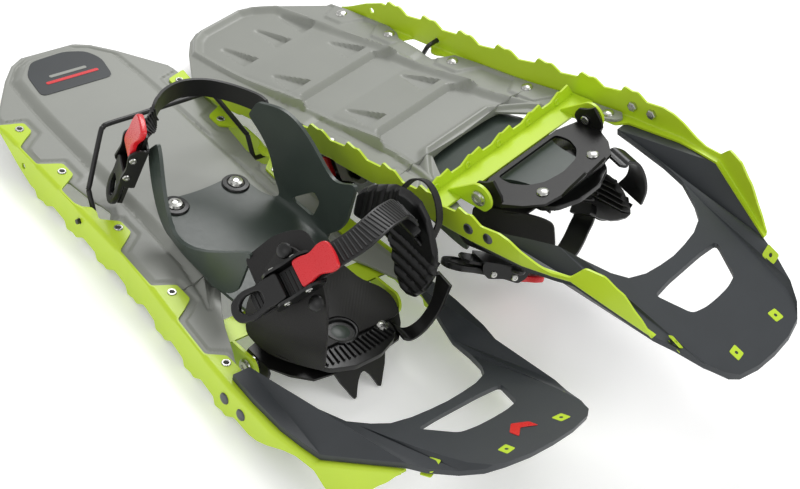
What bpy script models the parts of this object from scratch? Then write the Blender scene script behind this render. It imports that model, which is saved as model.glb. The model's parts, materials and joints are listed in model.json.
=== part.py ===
"""A pair of moulded-deck snowshoes: one standing on its steel rails, one turned over beside it.

Every shoe is drawn once, in drawing units, with x from tail to nose, y to the left and z up.
The top of the steel rail's flange is z = 0. Across the binding, v points to the buckle side.
OVERALL_WIDTH sets the size of one drawing unit, and place() stands each shoe on the floor.
"""

import math

import bmesh
import bpy
from mathutils import Matrix, Vector
from mathutils.geometry import tessellate_polygon

# ---- Driving dimensions ----------------------------------------------------------------------
OVERALL_WIDTH = 0.203              # metres, over both rails at the side bolts
DRAWN_WIDTH = 197.0                # drawing units over the same two faces
UNIT = OVERALL_WIDTH / DRAWN_WIDTH  # metres in one drawing unit

RAIL_DEPTH = 28.5                  # flange top down to the tooth tips
GAP = 0.35                         # clearance between touching pieces
STEEL = 1.8                        # rail and crossbar sheet
PLATE = 2.2                        # crampon plate
DECK_SHEET = 2.5
NOSE_SHEET = 5.0
URETHANE = 3.0

PIVOT = (390.0, 0.0, -14.0)        # toe pivot, an axis across the shoe
BAIL_PIVOT = (206.0, 0.0, -9.0)    # heel lift wire, an axis across the shoe
BAIL_LEAN = 33.0                   # degrees the raised wire leans back
WIRE_RADIUS = 2.0
NOSE_BEND = 461.0                  # where the nose starts to turn up
NOSE_SLOPE = 0.5                   # rise of the nose plane per unit of length

# The turned-over shoe beside the first one, in the first one's axes.
TURNED_AT = (27.3, 152.7, -5.3)
TURNED_ANGLES = (4.56, -13.01, 189.06)    # yaw, pitch and roll in degrees
PAIR_CENTRE = (326.2, 92.8)               # middle of the pair's plan, in the first shoe's axes

COLOURS = {
    "deck": ((0.34, 0.35, 0.32), 0.5, 0.0),
    "lime": ((0.55, 0.75, 0.04), 0.4, 0.1),
    "nose": ((0.045, 0.052, 0.058), 0.5, 0.0),
    "urethane": ((0.06, 0.08, 0.075), 0.35, 0.0),
    "black": ((0.012, 0.012, 0.012), 0.45, 0.0),
    "red": ((0.75, 0.02, 0.03), 0.35, 0.0),
    "steel": ((0.5, 0.5, 0.48), 0.3, 0.9),
}


# ---- Building helpers ------------------------------------------------------------------------
def clear_scene():
    """Remove whatever the file opened with."""
    for item in list(bpy.data.objects):
        bpy.data.objects.remove(item, do_unlink=True)


def material(slot):
    """The Principled material of a slot, made once."""
    if slot in bpy.data.materials:
        return bpy.data.materials[slot]
    colour, roughness, metallic = COLOURS[slot]
    made = bpy.data.materials.new(slot)
    made.use_nodes = True
    shader = made.node_tree.nodes["Principled BSDF"]
    shader.inputs["Base Color"].default_value = (*colour, 1.0)
    shader.inputs["Roughness"].default_value = roughness
    shader.inputs["Metallic"].default_value = metallic
    made.diffuse_color = (*colour, 1.0)
    return made


class Shoe:
    """One shoe: its name, where it stands, and which side its buckles are on."""

    def __init__(self, name, place, side, fit):
        self.name = name
        self.place = place
        self.side = side
        self.fit = fit

    def matrix(self, pivot):
        """World matrix of a piece whose origin is at a drawing point."""
        return self.place @ Matrix.Translation(Vector(pivot) * UNIT)

    def across(self, points):
        """Turn (x, v, z) points into (x, y, z), with v towards the buckle side."""
        return [(x, self.side * v, z) for x, v, z in points]

    def make(self, node, points, faces, slot, pivot=(0.0, 0.0, 0.0), thickness=None, offset=0.0):
        """One object from drawing points; a thickness turns an open sheet into a solid."""
        mesh = bpy.data.meshes.new(node)
        mesh.from_pydata([tuple((Vector(p) - Vector(pivot)) * UNIT) for p in points], [], faces)
        work = bmesh.new()
        work.from_mesh(mesh)
        bmesh.ops.remove_doubles(work, verts=work.verts, dist=0.02 * UNIT)
        bmesh.ops.recalc_face_normals(work, faces=work.faces)
        if thickness and offset and sum(f.normal.z * f.calc_area() for f in work.faces) < 0.0:
            bmesh.ops.reverse_faces(work, faces=work.faces)
        work.to_mesh(mesh)
        work.free()
        mesh.shade_smooth()
        mesh.set_sharp_from_angle(angle=math.radians(30.0))
        item = bpy.data.objects.new(f"{self.name}_{node}", mesh)
        bpy.context.scene.collection.objects.link(item)
        item.data.materials.append(material(slot))
        item.matrix_world = self.matrix(pivot)
        if thickness:
            wall = item.modifiers.new("wall", "SOLIDIFY")
            wall.thickness = thickness * UNIT
            wall.offset = offset
            wall.use_even_offset = True
        return item


def dropped(points, faces, depth):
    """Closed solid under an open sheet: the same sheet, lower down, and the walls between."""
    count = len(points)
    edges = {}
    for face in faces:
        for a, b in zip(face, (*face[1:], face[0])):
            edges[frozenset((a, b))] = edges.get(frozenset((a, b)), 0) + 1
    solid = list(faces) + [tuple(reversed([k + count for k in face])) for face in faces]
    for edge, uses in edges.items():
        if uses == 1:
            a, b = tuple(edge)
            solid.append((a, b, b + count, a + count))
    return list(points) + [(x, y, z - depth) for x, y, z in points], solid


def welded(points, faces, depth):
    """As dropped(), after points that lie together have been made one."""
    spots, index = [], []
    for p in points:
        same = [k for k, q in enumerate(spots) if (Vector(p) - Vector(q)).length < 0.02]
        index.append(same[0] if same else len(spots))
        if not same:
            spots.append(p)
    kept = [tuple(index[k] for k in face) for face in faces]
    return dropped(spots, [face for face in kept if len(set(face)) == len(face)], depth)


def hide(item):
    """Mark an operand so that it is not a part."""
    item.hide_render = True
    item.display_type = "WIRE"
    return item


def boolean(item, other, operation):
    """Cut or join another object into this one."""
    step = item.modifiers.new(operation.lower(), "BOOLEAN")
    step.operation = operation
    step.solver = "EXACT"
    step.object = hide(other)


def prism(outline, low, high, along="z"):
    """Closed solid of a flat outline swept between two levels along y or z."""
    count = len(outline)
    if along == "z":
        points = [(a, b, low) for a, b in outline] + [(a, b, high) for a, b in outline]
    else:
        points = [(a, low, b) for a, b in outline] + [(a, high, b) for a, b in outline]
    faces = [tuple(range(count)), tuple(range(count, 2 * count))]
    faces += [(i, (i + 1) % count, (i + 1) % count + count, i + count) for i in range(count)]
    return points, faces


def revolve(profile, centre, sides=16):
    """Closed solid turned about an axis across the shoe; profile holds (v, radius) pairs."""
    points = []
    for v, radius in profile:
        for step in range(sides):
            angle = math.tau * step / sides
            points.append((centre[0] + radius * math.cos(angle), v, centre[2] + radius * math.sin(angle)))
    rings = len(profile)
    faces = [tuple(range(sides)), tuple(range((rings - 1) * sides, rings * sides))]
    for ring in range(rings - 1):
        for step in range(sides):
            a = ring * sides + step
            b = ring * sides + (step + 1) % sides
            faces.append((a, b, b + sides, a + sides))
    return points, faces


def disc_outline(x, y, radius, sides=16):
    """Points of a circle."""
    steps = [math.tau * k / sides for k in range(sides)]
    return [(x + radius * math.cos(t), y + radius * math.sin(t)) for t in steps]


def read_at(line, x):
    """Value at x on a polyline of (x, value) pairs."""
    for (x0, v0), (x1, v1) in zip(line, line[1:]):
        if x <= x1:
            return v0 + (v1 - v0) * (x - x0) / (x1 - x0)
    return line[-1][1]


def mirrored(half):
    """Close a half outline given on the left, by its mirror image on the right."""
    return list(half) + [(x, -y) for x, y in reversed(half) if abs(y) > 1e-6]


def smooth_path(points, per_span=4):
    """Catmull-Rom curve through points, open at both ends."""
    nodes = [Vector(p) for p in points]
    nodes = [nodes[0] * 2 - nodes[1]] + nodes + [nodes[-1] * 2 - nodes[-2]]
    curve = []
    for k in range(1, len(nodes) - 2):
        a, b, c, d = nodes[k - 1:k + 3]
        for step in range(per_span):
            t = step / per_span
            curve.append(0.5 * ((2 * b) + (c - a) * t + (2 * a - 5 * b + 4 * c - d) * t * t
                                + (3 * b - a - 3 * c + d) * t ** 3))
    curve.append(nodes[-2])
    return curve


def band(path, widths, cross):
    """Open sheet strip: at each path point, half a width each way along the cross direction."""
    points, faces = [], []
    for spot, width, way in zip(path, widths, cross):
        half = Vector(way).normalized() * (width / 2)
        points += [tuple(Vector(spot) - half), tuple(Vector(spot) + half)]
    for k in range(len(path) - 1):
        a = 2 * k
        faces.append((a, a + 2, a + 3, a + 1))
    return points, faces


# ---- Deck ------------------------------------------------------------------------------------
DECK_TOP = -STEEL - GAP            # the flange lies under the rail's tabs
PANEL_TOP = 3.5                    # raised middle panel

DECK_OUTER = [(17, 0), (17, 24), (24, 37), (40, 52), (80, 82), (100, 83.5), (150, 84), (163, 80),
              (171, 74), (191, 71.5), (216, 67.5), (222, 72), (229, 82), (250, 84), (300, 86.5),
              (345, 92), (398, 96), (403, 90), (400, 84), (388, 79), (360, 67), (347, 60),
              (330, 49), (312, 37), (312, 0)]
DECK_FOOT = [(21, 0), (21, 22), (27, 34), (44, 49), (78, 52), (100, 53), (150, 53.3), (163, 53.4),
             (171, 53.5), (191, 53.6), (216, 53.8), (222, 53.9), (229, 53.9), (250, 54), (290, 56),
             (325, 62), (338, 66), (340, 65), (339, 64), (337, 62.5), (334, 61), (330, 58.5),
             (318, 47), (307, 36), (307, 0)]
DECK_BROW = [(28, 0), (28, 20), (33, 30), (49, 43), (78, 45), (100, 45), (150, 45.3), (163, 45.4),
             (171, 45.5), (191, 45.6), (216, 45.8), (222, 45.9), (229, 45.9), (250, 46), (288, 48),
             (318, 55), (322, 57), (323, 56.5), (322, 56), (321, 55), (319, 54), (316, 52),
             (308, 43), (300, 34), (300, 0)]


def build_deck(shoe):
    """Moulded deck: flange, sloped rim and raised middle panel, one sheet."""
    loops = [mirrored(line) for line in (DECK_OUTER, DECK_FOOT, DECK_BROW)]
    count = len(loops[0])
    points = []
    for loop, level in zip(loops, (DECK_TOP, DECK_TOP, PANEL_TOP)):
        points += [(x, y, level) for x, y in loop]
    faces = []
    for ring in range(2):
        for k in range(count):
            a = ring * count + k
            b = ring * count + (k + 1) % count
            faces.append((a, b, b + count, a + count))
    faces.append(tuple(range(2 * count, 3 * count)))
    return shoe.make("deck", *dropped(points, faces, DECK_SHEET), "deck")


# ---- Side rails ------------------------------------------------------------------------------
FOLD_Y = [(89, 87), (260, 87.5), (300, 90), (340, 94.5), (383, 98.5), (407, 100), (456, 100),
          (475, 97), (495, 93), (520, 85), (552, 74)]
FOLD_Z = [(89, 0), (495, 0), (552, 35)]
TAB_EDGE = [(89, 85.2), (94, 67.5), (106, 67.5), (113, 78), (119, 85.4),
            (143, 85.4), (151, 68), (166, 68), (172, 77), (177, 85.6),
            (195, 85.6), (203, 82), (204, 77.3), (212, 76.8), (219, 80), (224, 74),
            (229, 67.5), (243, 67.5), (250, 77), (256, 85.8),
            (299, 87.8), (307, 71.5), (324, 71.5), (332, 83), (337, 91.5),
            (375, 95.2), (384, 83), (401, 82.5), (408, 90), (456, 93),
            (475, 90.5), (495, 87), (520, 79), (552, 69)]
TOOTH_PITCH = 41.5
TOOTH_START = 147.0
TOOTH_COUNT = 7
TOOTH_WAVE = [(0.0, -22.5), (1.5, -RAIL_DEPTH), (11.0, -25.6), (15.0, -27.2), (24.0, -20.6)]
BLADE_TAIL = [(89, -2), (99, -6), (120, -16), (140, -23)]
BLADE_FRONT = [(437, -22), (446, -20), (470, -8), (480, -5), (496, -6), (507, -17), (521, -13),
               (529, -4), (534, 0), (541, 13), (546, 20), (552, 33)]


def blade_edge():
    """Lower edge of the rail: tail ramp, saw teeth, then the stepped nose end."""
    teeth = [(TOOTH_START + k * TOOTH_PITCH + dx, z) for k in range(TOOTH_COUNT) for dx, z in TOOTH_WAVE]
    return BLADE_TAIL + teeth + BLADE_FRONT


def build_rail(shoe, node, way):
    """Bent steel side rail: tabbed flange on top of the deck, toothed blade below."""
    edge = blade_edge()
    stations = sorted({x for line in (FOLD_Y, TAB_EDGE, edge, FOLD_Z) for x, _ in line})
    stations = [x for k, x in enumerate(stations) if k == 0 or x - stations[k - 1] > 0.4]
    points, faces = [], []
    for x in stations:
        fold, level = read_at(FOLD_Y, x), read_at(FOLD_Z, x)
        points += [(x, way * read_at(TAB_EDGE, x), level), (x, way * fold, level),
                   (x, way * (fold + 0.5), read_at(edge, x))]
    for k in range(len(stations) - 1):
        a = 3 * k
        faces += [(a, a + 3, a + 4, a + 1), (a + 1, a + 4, a + 5, a + 2)]
    rail = shoe.make(node, shoe.across(points), faces, "lime", thickness=STEEL, offset=-1.0)
    points, faces = revolve([(-110, WIRE_RADIUS + GAP), (110, WIRE_RADIUS + GAP)], BAIL_PIVOT, 12)
    boolean(rail, shoe.make("wire_bore", points, faces, "lime"), "DIFFERENCE")
    return rail


# ---- Nose ------------------------------------------------------------------------------------
NOSE_REST = NOSE_SHEET + GAP       # top of the side arms, which lie on the rail's flange
RIDGE = [(482, 60.5), (500, 58.5), (520, 58), (552, 56.5), (566, 55), (585, 52), (599, 45)]
NOSE_EDGE = [(405, 94), (430, 95.5), (461, 95), (480, 92), (495, 88.5), (520, 80.5), (552, 70),
             (566, 65), (585, 57), (597, 48)]
NOSE_EDGE_Z = [(405, 5.35), (495, 5.45), (520, 20.9), (552, 40.6), (566, 46), (585, 57), (597, 65)]
NOSE_OPENING = [(405, 80), (420, 76.5), (440, 70), (461, 64), (482, 60.5), (500, 52), (510, 44),
                (515, 30), (517, 15), (518, 0)]
NOSE_FRONT = [(604, 38), (608, 20), (609, 0)]
NOSE_WINDOW = [(528, 0), (528, 20), (529.5, 39), (541, 33.5), (554.5, 27), (557.5, 14), (558, 0)]


def nose_height(x):
    """Top of the nose plane at x."""
    return max(NOSE_REST, NOSE_SLOPE * (x - NOSE_BEND))


def flat_faces(outline, holes=()):
    """Triangles that fill an outline and leave its holes open; indices run over all loops."""
    loops = [[Vector((x, y, 0.0)) for x, y in loop] for loop in (outline, *holes)]
    return [tuple(face) for face in tessellate_polygon(loops)]


def build_nose(shoe):
    """Moulded nose: two arms on the rails, a turned-up web with its window, sloped sides."""
    web = [(518, 0), *reversed(NOSE_OPENING[4:-1]), *RIDGE[1:], *NOSE_FRONT]
    web_loop = mirrored(web)
    window = mirrored(NOSE_WINDOW)
    points = [(x, y, nose_height(x)) for x, y in web_loop + window]
    faces = flat_faces(web_loop, [window])
    for way in (1, -1):
        start = len(points)
        inner = NOSE_OPENING[:4] + RIDGE
        outer = NOSE_EDGE
        arm = list(outer) + list(reversed(inner))
        levels = [read_at(NOSE_EDGE_Z, x) for x, _ in outer] + [nose_height(x) for x, _ in reversed(inner)]
        points += [(x, way * y, z) for (x, y), z in zip(arm, levels)]
        faces += [tuple(start + k for k in face) for face in flat_faces(arm)]
        tip = len(points)
        points += [(597, way * 48, 65), (599, way * 45, nose_height(599)), (604, way * 38, nose_height(604))]
        faces.append((tip, tip + 1, tip + 2))
    return shoe.make("nose", *welded(points, faces, NOSE_SHEET), "nose")


# ---- Crossbar and pivots ---------------------------------------------------------------------
BAR_TOP = DECK_TOP - DECK_SHEET - GAP
BAR_SPAN = 92.5
BAR_TOOTH = [(0, 8.0), (3, 13.5), (12, 11.5), (15, 12.8), (25, 8.0)]
EAR_INNER = 66.0
EAR_OUTER = 68.5
EAR_RADIUS = 11.5
PIN_RADIUS = 3.9


def ear_outline():
    """Side view of a pivot ear: a round end joined to the bar's flange."""
    x, z = PIVOT[0], PIVOT[2]
    arc = [math.radians(a) for a in range(-130, 71, 20)]
    return [(361, BAR_TOP - 1.0), (358, BAR_TOP - 2.5)] + [
        (x + EAR_RADIUS * math.cos(a), z + EAR_RADIUS * math.sin(a)) for a in arc]


def build_crossbar(shoe):
    """Toothed steel angle under the deck arms, with an ear at each side of the binding."""
    flange = [(350, BAR_TOP), (371, BAR_TOP), (371, BAR_TOP - STEEL), (350, BAR_TOP - STEEL)]
    points, faces = prism(flange, -BAR_SPAN, BAR_SPAN, along="y")
    bar = shoe.make("crossbar", points, faces, "lime")
    teeth = [(-BAR_SPAN, BAR_TOP - 0.4)]
    for start in (-88.0, -52.0, -16.0, 20.0, 56.0):
        teeth += [(start + along, BAR_TOP - depth) for along, depth in BAR_TOOTH]
    teeth.append((BAR_SPAN, BAR_TOP - 0.4))
    points = [(x, y, z) for x in (350.0 - 0.2, 350.0 + STEEL) for y, z in teeth]
    count = len(teeth)
    faces = [tuple(range(count)), tuple(range(count, 2 * count))]
    faces += [(i, (i + 1) % count, (i + 1) % count + count, i + count) for i in range(count)]
    boolean(bar, shoe.make("bar_web", points, faces, "lime"), "UNION")
    for way in (1, -1):
        low, high = sorted((way * EAR_INNER, way * EAR_OUTER))
        points, faces = prism(ear_outline(), low, high, along="y")
        boolean(bar, shoe.make("bar_ear", points, faces, "lime"), "UNION")
    points, faces = revolve([(-80, PIN_RADIUS + GAP), (80, PIN_RADIUS + GAP)], PIVOT)
    boolean(bar, shoe.make("bar_bore", points, faces, "lime"), "DIFFERENCE")
    return bar


def build_pin(shoe, node, way):
    """Shouldered pivot pin through one ear and one crampon cheek."""
    profile = [(57.4, 3.2), (57.8, PIN_RADIUS), (61.7, PIN_RADIUS), (61.8, 6.2), (65.6, 6.2),
               (65.7, PIN_RADIUS), (68.9, PIN_RADIUS), (69.0, 6.5), (71.4, 5.0)]
    points, faces = revolve([(way * v, r) for v, r in profile], PIVOT)
    return shoe.make(node, shoe.across(points), faces, "steel")


# ---- Crampon and toe plate -------------------------------------------------------------------
CRAMPON_TOP = -6.8
CHEEK = 61.4                       # middle of the upright cheeks
CHEEK_HALF = PLATE / 2


def build_crampon(shoe):
    """Toe crampon: a windowed plate, cheeks with claws at the pivots, two front teeth."""
    plate = mirrored([(375, 40), (381, CHEEK), (404, CHEEK), (418, 52), (430, 40), (433, 24)])
    window = mirrored([(379, 0), (379, 35), (392, 36), (404, 30), (412, 19), (415, 0)])
    points = [(x, y, CRAMPON_TOP) for x, y in plate + window]
    faces = flat_faces(plate, [window])
    for way in (1, -1):
        cheek = [(381, CRAMPON_TOP), (404, CRAMPON_TOP), (405, -15), (402, -21), (398.5, -RAIL_DEPTH),
                 (392.5, -24.5), (383, -21.5), (378.5, -14)]
        start = len(points)
        points += [(x, way * CHEEK, z) for x, z in cheek]
        faces.append(tuple(range(start, start + len(cheek))))
    start = len(points)
    comb = [(-24, 0), (-19.5, 0.45), (-11.6, 1.0), (-3.5, 0.5), (0, 0.35), (3.5, 0.5), (11.6, 1.0),
            (19.5, 0.45), (24, 0)]
    drop = RAIL_DEPTH + CRAMPON_TOP - 1.5
    points += [(433 + 14.2 * t, y, CRAMPON_TOP - drop * t) for y, t in comb]
    faces.append(tuple(range(start, start + len(comb))))
    crampon = shoe.make("crampon", points, faces, "black", pivot=PIVOT, thickness=PLATE, offset=-0.999)
    points, faces = revolve([(-80, PIN_RADIUS + GAP), (80, PIN_RADIUS + GAP)], PIVOT)
    boolean(crampon, shoe.make("cheek_bore", points, faces, "black", pivot=PIVOT), "DIFFERENCE")
    for y in (-TOE_RIVET_Y, TOE_RIVET_Y):
        points, faces = prism(disc_outline(TOE_RIVET_X, y, RIVET_SHANK + GAP, 12), -12, 4)
        boolean(crampon, shoe.make("rivet_bore", points, faces, "black", pivot=PIVOT), "DIFFERENCE")
    return crampon


TOE_RIVET_X = 419.5
TOE_RIVET_Y = 30.2
RIVET_SHANK = 2.4
TOE_BASE = -2.7                    # the harness sole runs between the crampon and the toe plate
TOE_THICK = 4.5


def build_toe_plate(shoe):
    """Ribbed pad on the crampon, with a round window over the sole."""
    outline = mirrored([(393, 0), (393, 30), (398, 38), (424, 38), (434, 30), (441, 12), (441, 0)])
    points, faces = prism(outline, TOE_BASE, TOE_BASE + TOE_THICK)
    pad = shoe.make("toe_plate", points, faces, "black", pivot=PIVOT)
    points, faces = prism(disc_outline(408, 0, 11, 20), TOE_BASE - 3, TOE_BASE + TOE_THICK + 3)
    boolean(pad, shoe.make("toe_window", points, faces, "black", pivot=PIVOT), "DIFFERENCE")
    for y in (-TOE_RIVET_Y, TOE_RIVET_Y):
        points, faces = prism(disc_outline(TOE_RIVET_X, y, RIVET_SHANK + GAP, 12), -12, 4)
        boolean(pad, shoe.make("rivet_bore", points, faces, "black", pivot=PIVOT), "DIFFERENCE")
    return pad


def upright(shoe, node, x, v, levels, slot, pivot=PIVOT):
    """Turned fastener standing along z: levels holds (z, radius) pairs."""
    points = []
    sides = 14
    for z, radius in levels:
        points += [(a, b, z) for a, b in disc_outline(x, v, radius, sides)]
    rings = len(levels)
    faces = [tuple(range(sides)), tuple(range((rings - 1) * sides, rings * sides))]
    for ring in range(rings - 1):
        for step in range(sides):
            a, b = ring * sides + step, ring * sides + (step + 1) % sides
            faces.append((a, b, b + sides, a + sides))
    return shoe.make(node, shoe.across(points), faces, slot, pivot=pivot)


def build_toe_rivet(shoe, node, way):
    """Rivet holding the toe plate to the crampon."""
    top = TOE_BASE + TOE_THICK + GAP
    low = CRAMPON_TOP - PLATE - GAP
    levels = [(low - 1.6, 3.4), (low, 4.8), (low + 0.05, RIVET_SHANK), (top, RIVET_SHANK),
              (top + 0.05, 4.8), (top + 1.6, 3.4)]
    return upright(shoe, node, TOE_RIVET_X, way * TOE_RIVET_Y, levels, "steel")


# ---- Harness ---------------------------------------------------------------------------------
SOLE_LOW = PANEL_TOP + 0.9         # underside where the sole lies on the deck
SOLE_TOP = SOLE_LOW + URETHANE
BOLT_X = 241.0
BOLT_V = 28.2

# Half width of the sole at each station, with the height of its top face.
SOLE_SIDE = [(229, 36, SOLE_TOP), (243, 39.5, SOLE_TOP), (258, 39, SOLE_TOP), (275, 50, SOLE_TOP),
             (298, 53, SOLE_TOP), (320, 53, SOLE_TOP), (340, 50, 5.5), (362, 44, 1.0),
             (376, 34, -0.9), (386, 26, -3.1), (430, 22, -3.1)]
# Walls as (lower edge, upper edge) pairs, from the front end back to the heel tip.
BUCKLE_WALL = [((352, 51.5, 20), (359, 49.5, 64)), ((340, 53, 10), (344, 53, 54)),
               ((320, 53, SOLE_TOP), (322, 57, 38)), ((298, 53, SOLE_TOP), (302, 58, 27)),
               ((275, 50, SOLE_TOP), (284, 57, 22)), ((259, 50, 12), (270, 53, 26)),
               ((245, 49, 28), (256, 50, 42)), ((232, 46, 46), (244, 46, 60)),
               ((226, 44, 58), (236, 44, 71.4))]
FAR_WALL = [((344, 50, 36), (347, 49, 76)), ((334, 51, 17), (336, 51, 68)),
            ((320, 53, SOLE_TOP), (321, 52, 57)), ((298, 53, SOLE_TOP), (303, 52, 68)),
            ((275, 50, SOLE_TOP), (283, 50, 82)), ((258, 50, 18), (264, 48, 87)),
            ((254, 49, 36), (252, 45, 85)), ((240, 46, 52), (242, 44, 81)),
            ((226, 43, 60), (234, 43, 78))]
WALL_WINDOW = [(281, 14), (303, 36), (311, 31), (306, 13)]


def build_harness(shoe):
    """Urethane harness: a sole with a wall up each side of the foot and a tip at each heel side."""
    points = [(x, way * v, z) for x, v, z in SOLE_SIDE for way in (1, -1)]
    faces = [(2 * k, 2 * k + 2, 2 * k + 3, 2 * k + 1) for k in range(len(SOLE_SIDE) - 1)]
    for way, wall in ((1, BUCKLE_WALL), (-1, FAR_WALL)):
        start = len(points)
        for low, high in wall:
            middle = tuple((a + b) / 2 for a, b in zip(low, high))
            points += [(x, way * v, z) for x, v, z in (low, middle, high)]
        for k in range(len(wall) - 1):
            a = start + 3 * k
            faces += [(a, a + 3, a + 4, a + 1), (a + 1, a + 4, a + 5, a + 2)]
    harness = shoe.make("harness", shoe.across(points), faces, "urethane", pivot=PIVOT,
                        thickness=URETHANE, offset=-0.999)
    points, faces = prism(WALL_WINDOW, -70, -35, along="y")
    boolean(harness, shoe.make("wall_window", shoe.across(points), faces, "urethane", pivot=PIVOT),
            "DIFFERENCE")
    for v in (-BOLT_V, BOLT_V):
        points, faces = prism(disc_outline(BOLT_X, v, 3.2 + GAP, 12), 0, 12)
        boolean(harness, shoe.make("bolt_bore", shoe.across(points), faces, "urethane", pivot=PIVOT),
                "DIFFERENCE")
    return harness


def build_bolt(shoe, node, way):
    """Domed heel bolt in the sole."""
    levels = [(SOLE_LOW, 3.2), (SOLE_TOP + GAP, 3.2), (SOLE_TOP + GAP + 0.05, 7.6),
              (SOLE_TOP + 2.2, 7.6), (SOLE_TOP + 2.3, 5.2), (SOLE_TOP + 4.6, 4.4)]
    return upright(shoe, node, BOLT_X, way * BOLT_V, levels, "steel")


# ---- Ratchet buckles -------------------------------------------------------------------------
class Frame:
    """A buckle's own axes: a along the strap, b across it, c away from the foot."""

    def __init__(self, origin, along, out):
        self.origin = Vector(origin)
        self.a = Vector(along).normalized()
        self.c = (Vector(out) - Vector(out).dot(self.a) * self.a).normalized()
        self.b = self.c.cross(self.a)

    def at(self, a, b, c):
        """Binding point of a buckle point."""
        return tuple(self.origin + a * self.a + b * self.b + c * self.c)


BODY_HALF = 21.0                   # half length of the buckle body
BODY_SIDE = 13.0                   # half width
CHEEK_SHEET = 2.0
PIN_A = 9.0                        # both pins lie this far from the body's middle
PIN_C = 9.0
BUCKLE_PIN = 1.9
TOE_REACH = 49.0                   # far end of each pull lever, from the body's middle
HEEL_REACH = 48.0

class Fit:
    """How one shoe's binding is done up: its buckles and the routes of its soft pieces."""

    def __init__(self, toe, heel, over_foot, round_heel, pad, arm, arm_width, loop):
        self.toe = toe
        self.heel = heel
        self.over_foot = over_foot
        self.round_heel = round_heel
        self.pad = pad
        self.arm = arm
        self.arm_width = arm_width
        self.loop = loop


STANDING_FIT = Fit(
    toe=Frame((402, 48, 69), (0.37, -0.60, 0.71), (0.15, 0.79, 0.59)),
    heel=Frame((222, 51.5, 50), (0.20, -0.10, 0.97), (-0.45, 1.0, 0.0)),
    over_foot=[(418, 16, 103), (418, 4, 109), (415, -10, 111.5), (411, -24, 109), (407, -34, 104),
               (409, -40, 99), (411, -43, 94)],
    round_heel=[(240, -50.4, 71), (226, -50.4, 70), (203, -42, 67), (189, -28, 67), (184, -10, 68),
                (190, 9, 71), (203, 26, 76), (217, 39, 78)],
    pad=[[(362, -51, 34), (356, -51.5, 54), (352.5, -50, 75)],
         [(378, -53, 28), (373, -54, 62), (374, -50, 98)],
         [(400, -53, 25), (400, -54, 64), (394, -49, 109)],
         [(420, -52, 27), (425, -53, 58), (420, -49, 103)],
         [(434, -50, 36), (444, -51, 58), (435, -49, 94)]],
    arm=[(435, -42, -1), (438, -47, 5), (441, -52, 15), (443, -56, 30), (443, -57.3, 44),
         (443, -57.3, 56)],
    arm_width=16.0,
    loop=[(384, -58, 96), (390, -61, 108), (402, -62, 114), (414, -62, 108), (422, -61, 94),
          (421, -60, 78), (418, -60.5, 66)])
FLATTENED_FIT = Fit(
    toe=Frame((391, 50, 56), (0.50, -0.75, 0.43), (0.0, 0.5, 0.87)),
    heel=Frame((226, 53.5, 32), (-0.93, -0.10, 0.36), (-0.1, 1.0, 0.0)),
    over_foot=[(409, 15, 76), (409, 2, 78), (407, -11, 78), (404, -23, 76), (401, -33, 73),
               (400, -40, 69), (400, -43.5, 63)],
    round_heel=[(240, -50.4, 66), (226, -50.4, 63), (204, -45, 56), (187, -30, 53), (179, -10, 52),
                (179, 9, 51), (183, 28, 48), (191, 43, 45)],
    pad=[[(360, -52, 30), (354, -52.5, 42), (352.5, -51, 54)],
         [(375, -53, 26), (370, -54, 46), (371, -51, 68)],
         [(396, -53, 24), (396, -54, 48), (390, -50, 74)],
         [(415, -53, 26), (420, -53, 45), (415, -50, 72)],
         [(428, -52, 30), (436, -52, 44), (430, -50, 64)]],
    arm=[(431, -42, -2), (434, -49, -4), (438, -56, 2), (440, -60, 14), (439, -60.5, 27),
         (433, -59, 40)],
    arm_width=24.0,
    loop=[(384, -61, 58), (389, -62, 71), (398, -62, 79), (410, -62, 75), (418, -62, 64),
          (416, -61.5, 52)])


def framed(frame, points):
    """Move buckle points (a, b, c) into the binding."""
    return [frame.at(*p) for p in points]


def frame_prism(frame, outline, low, high):
    """Closed solid of an (a, c) outline swept across the buckle."""
    count = len(outline)
    points = framed(frame, [(a, low, c) for a, c in outline] + [(a, high, c) for a, c in outline])
    faces = [tuple(range(count)), tuple(range(count, 2 * count))]
    faces += [(i, (i + 1) % count, (i + 1) % count + count, i + count) for i in range(count)]
    return points, faces


def frame_slab(frame, outline, low, high):
    """Closed solid of an (a, b) outline between two heights off the foot."""
    count = len(outline)
    points = framed(frame, [(a, b, low) for a, b in outline] + [(a, b, high) for a, b in outline])
    faces = [tuple(range(count)), tuple(range(count, 2 * count))]
    faces += [(i, (i + 1) % count, (i + 1) % count + count, i + count) for i in range(count)]
    return points, faces


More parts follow.
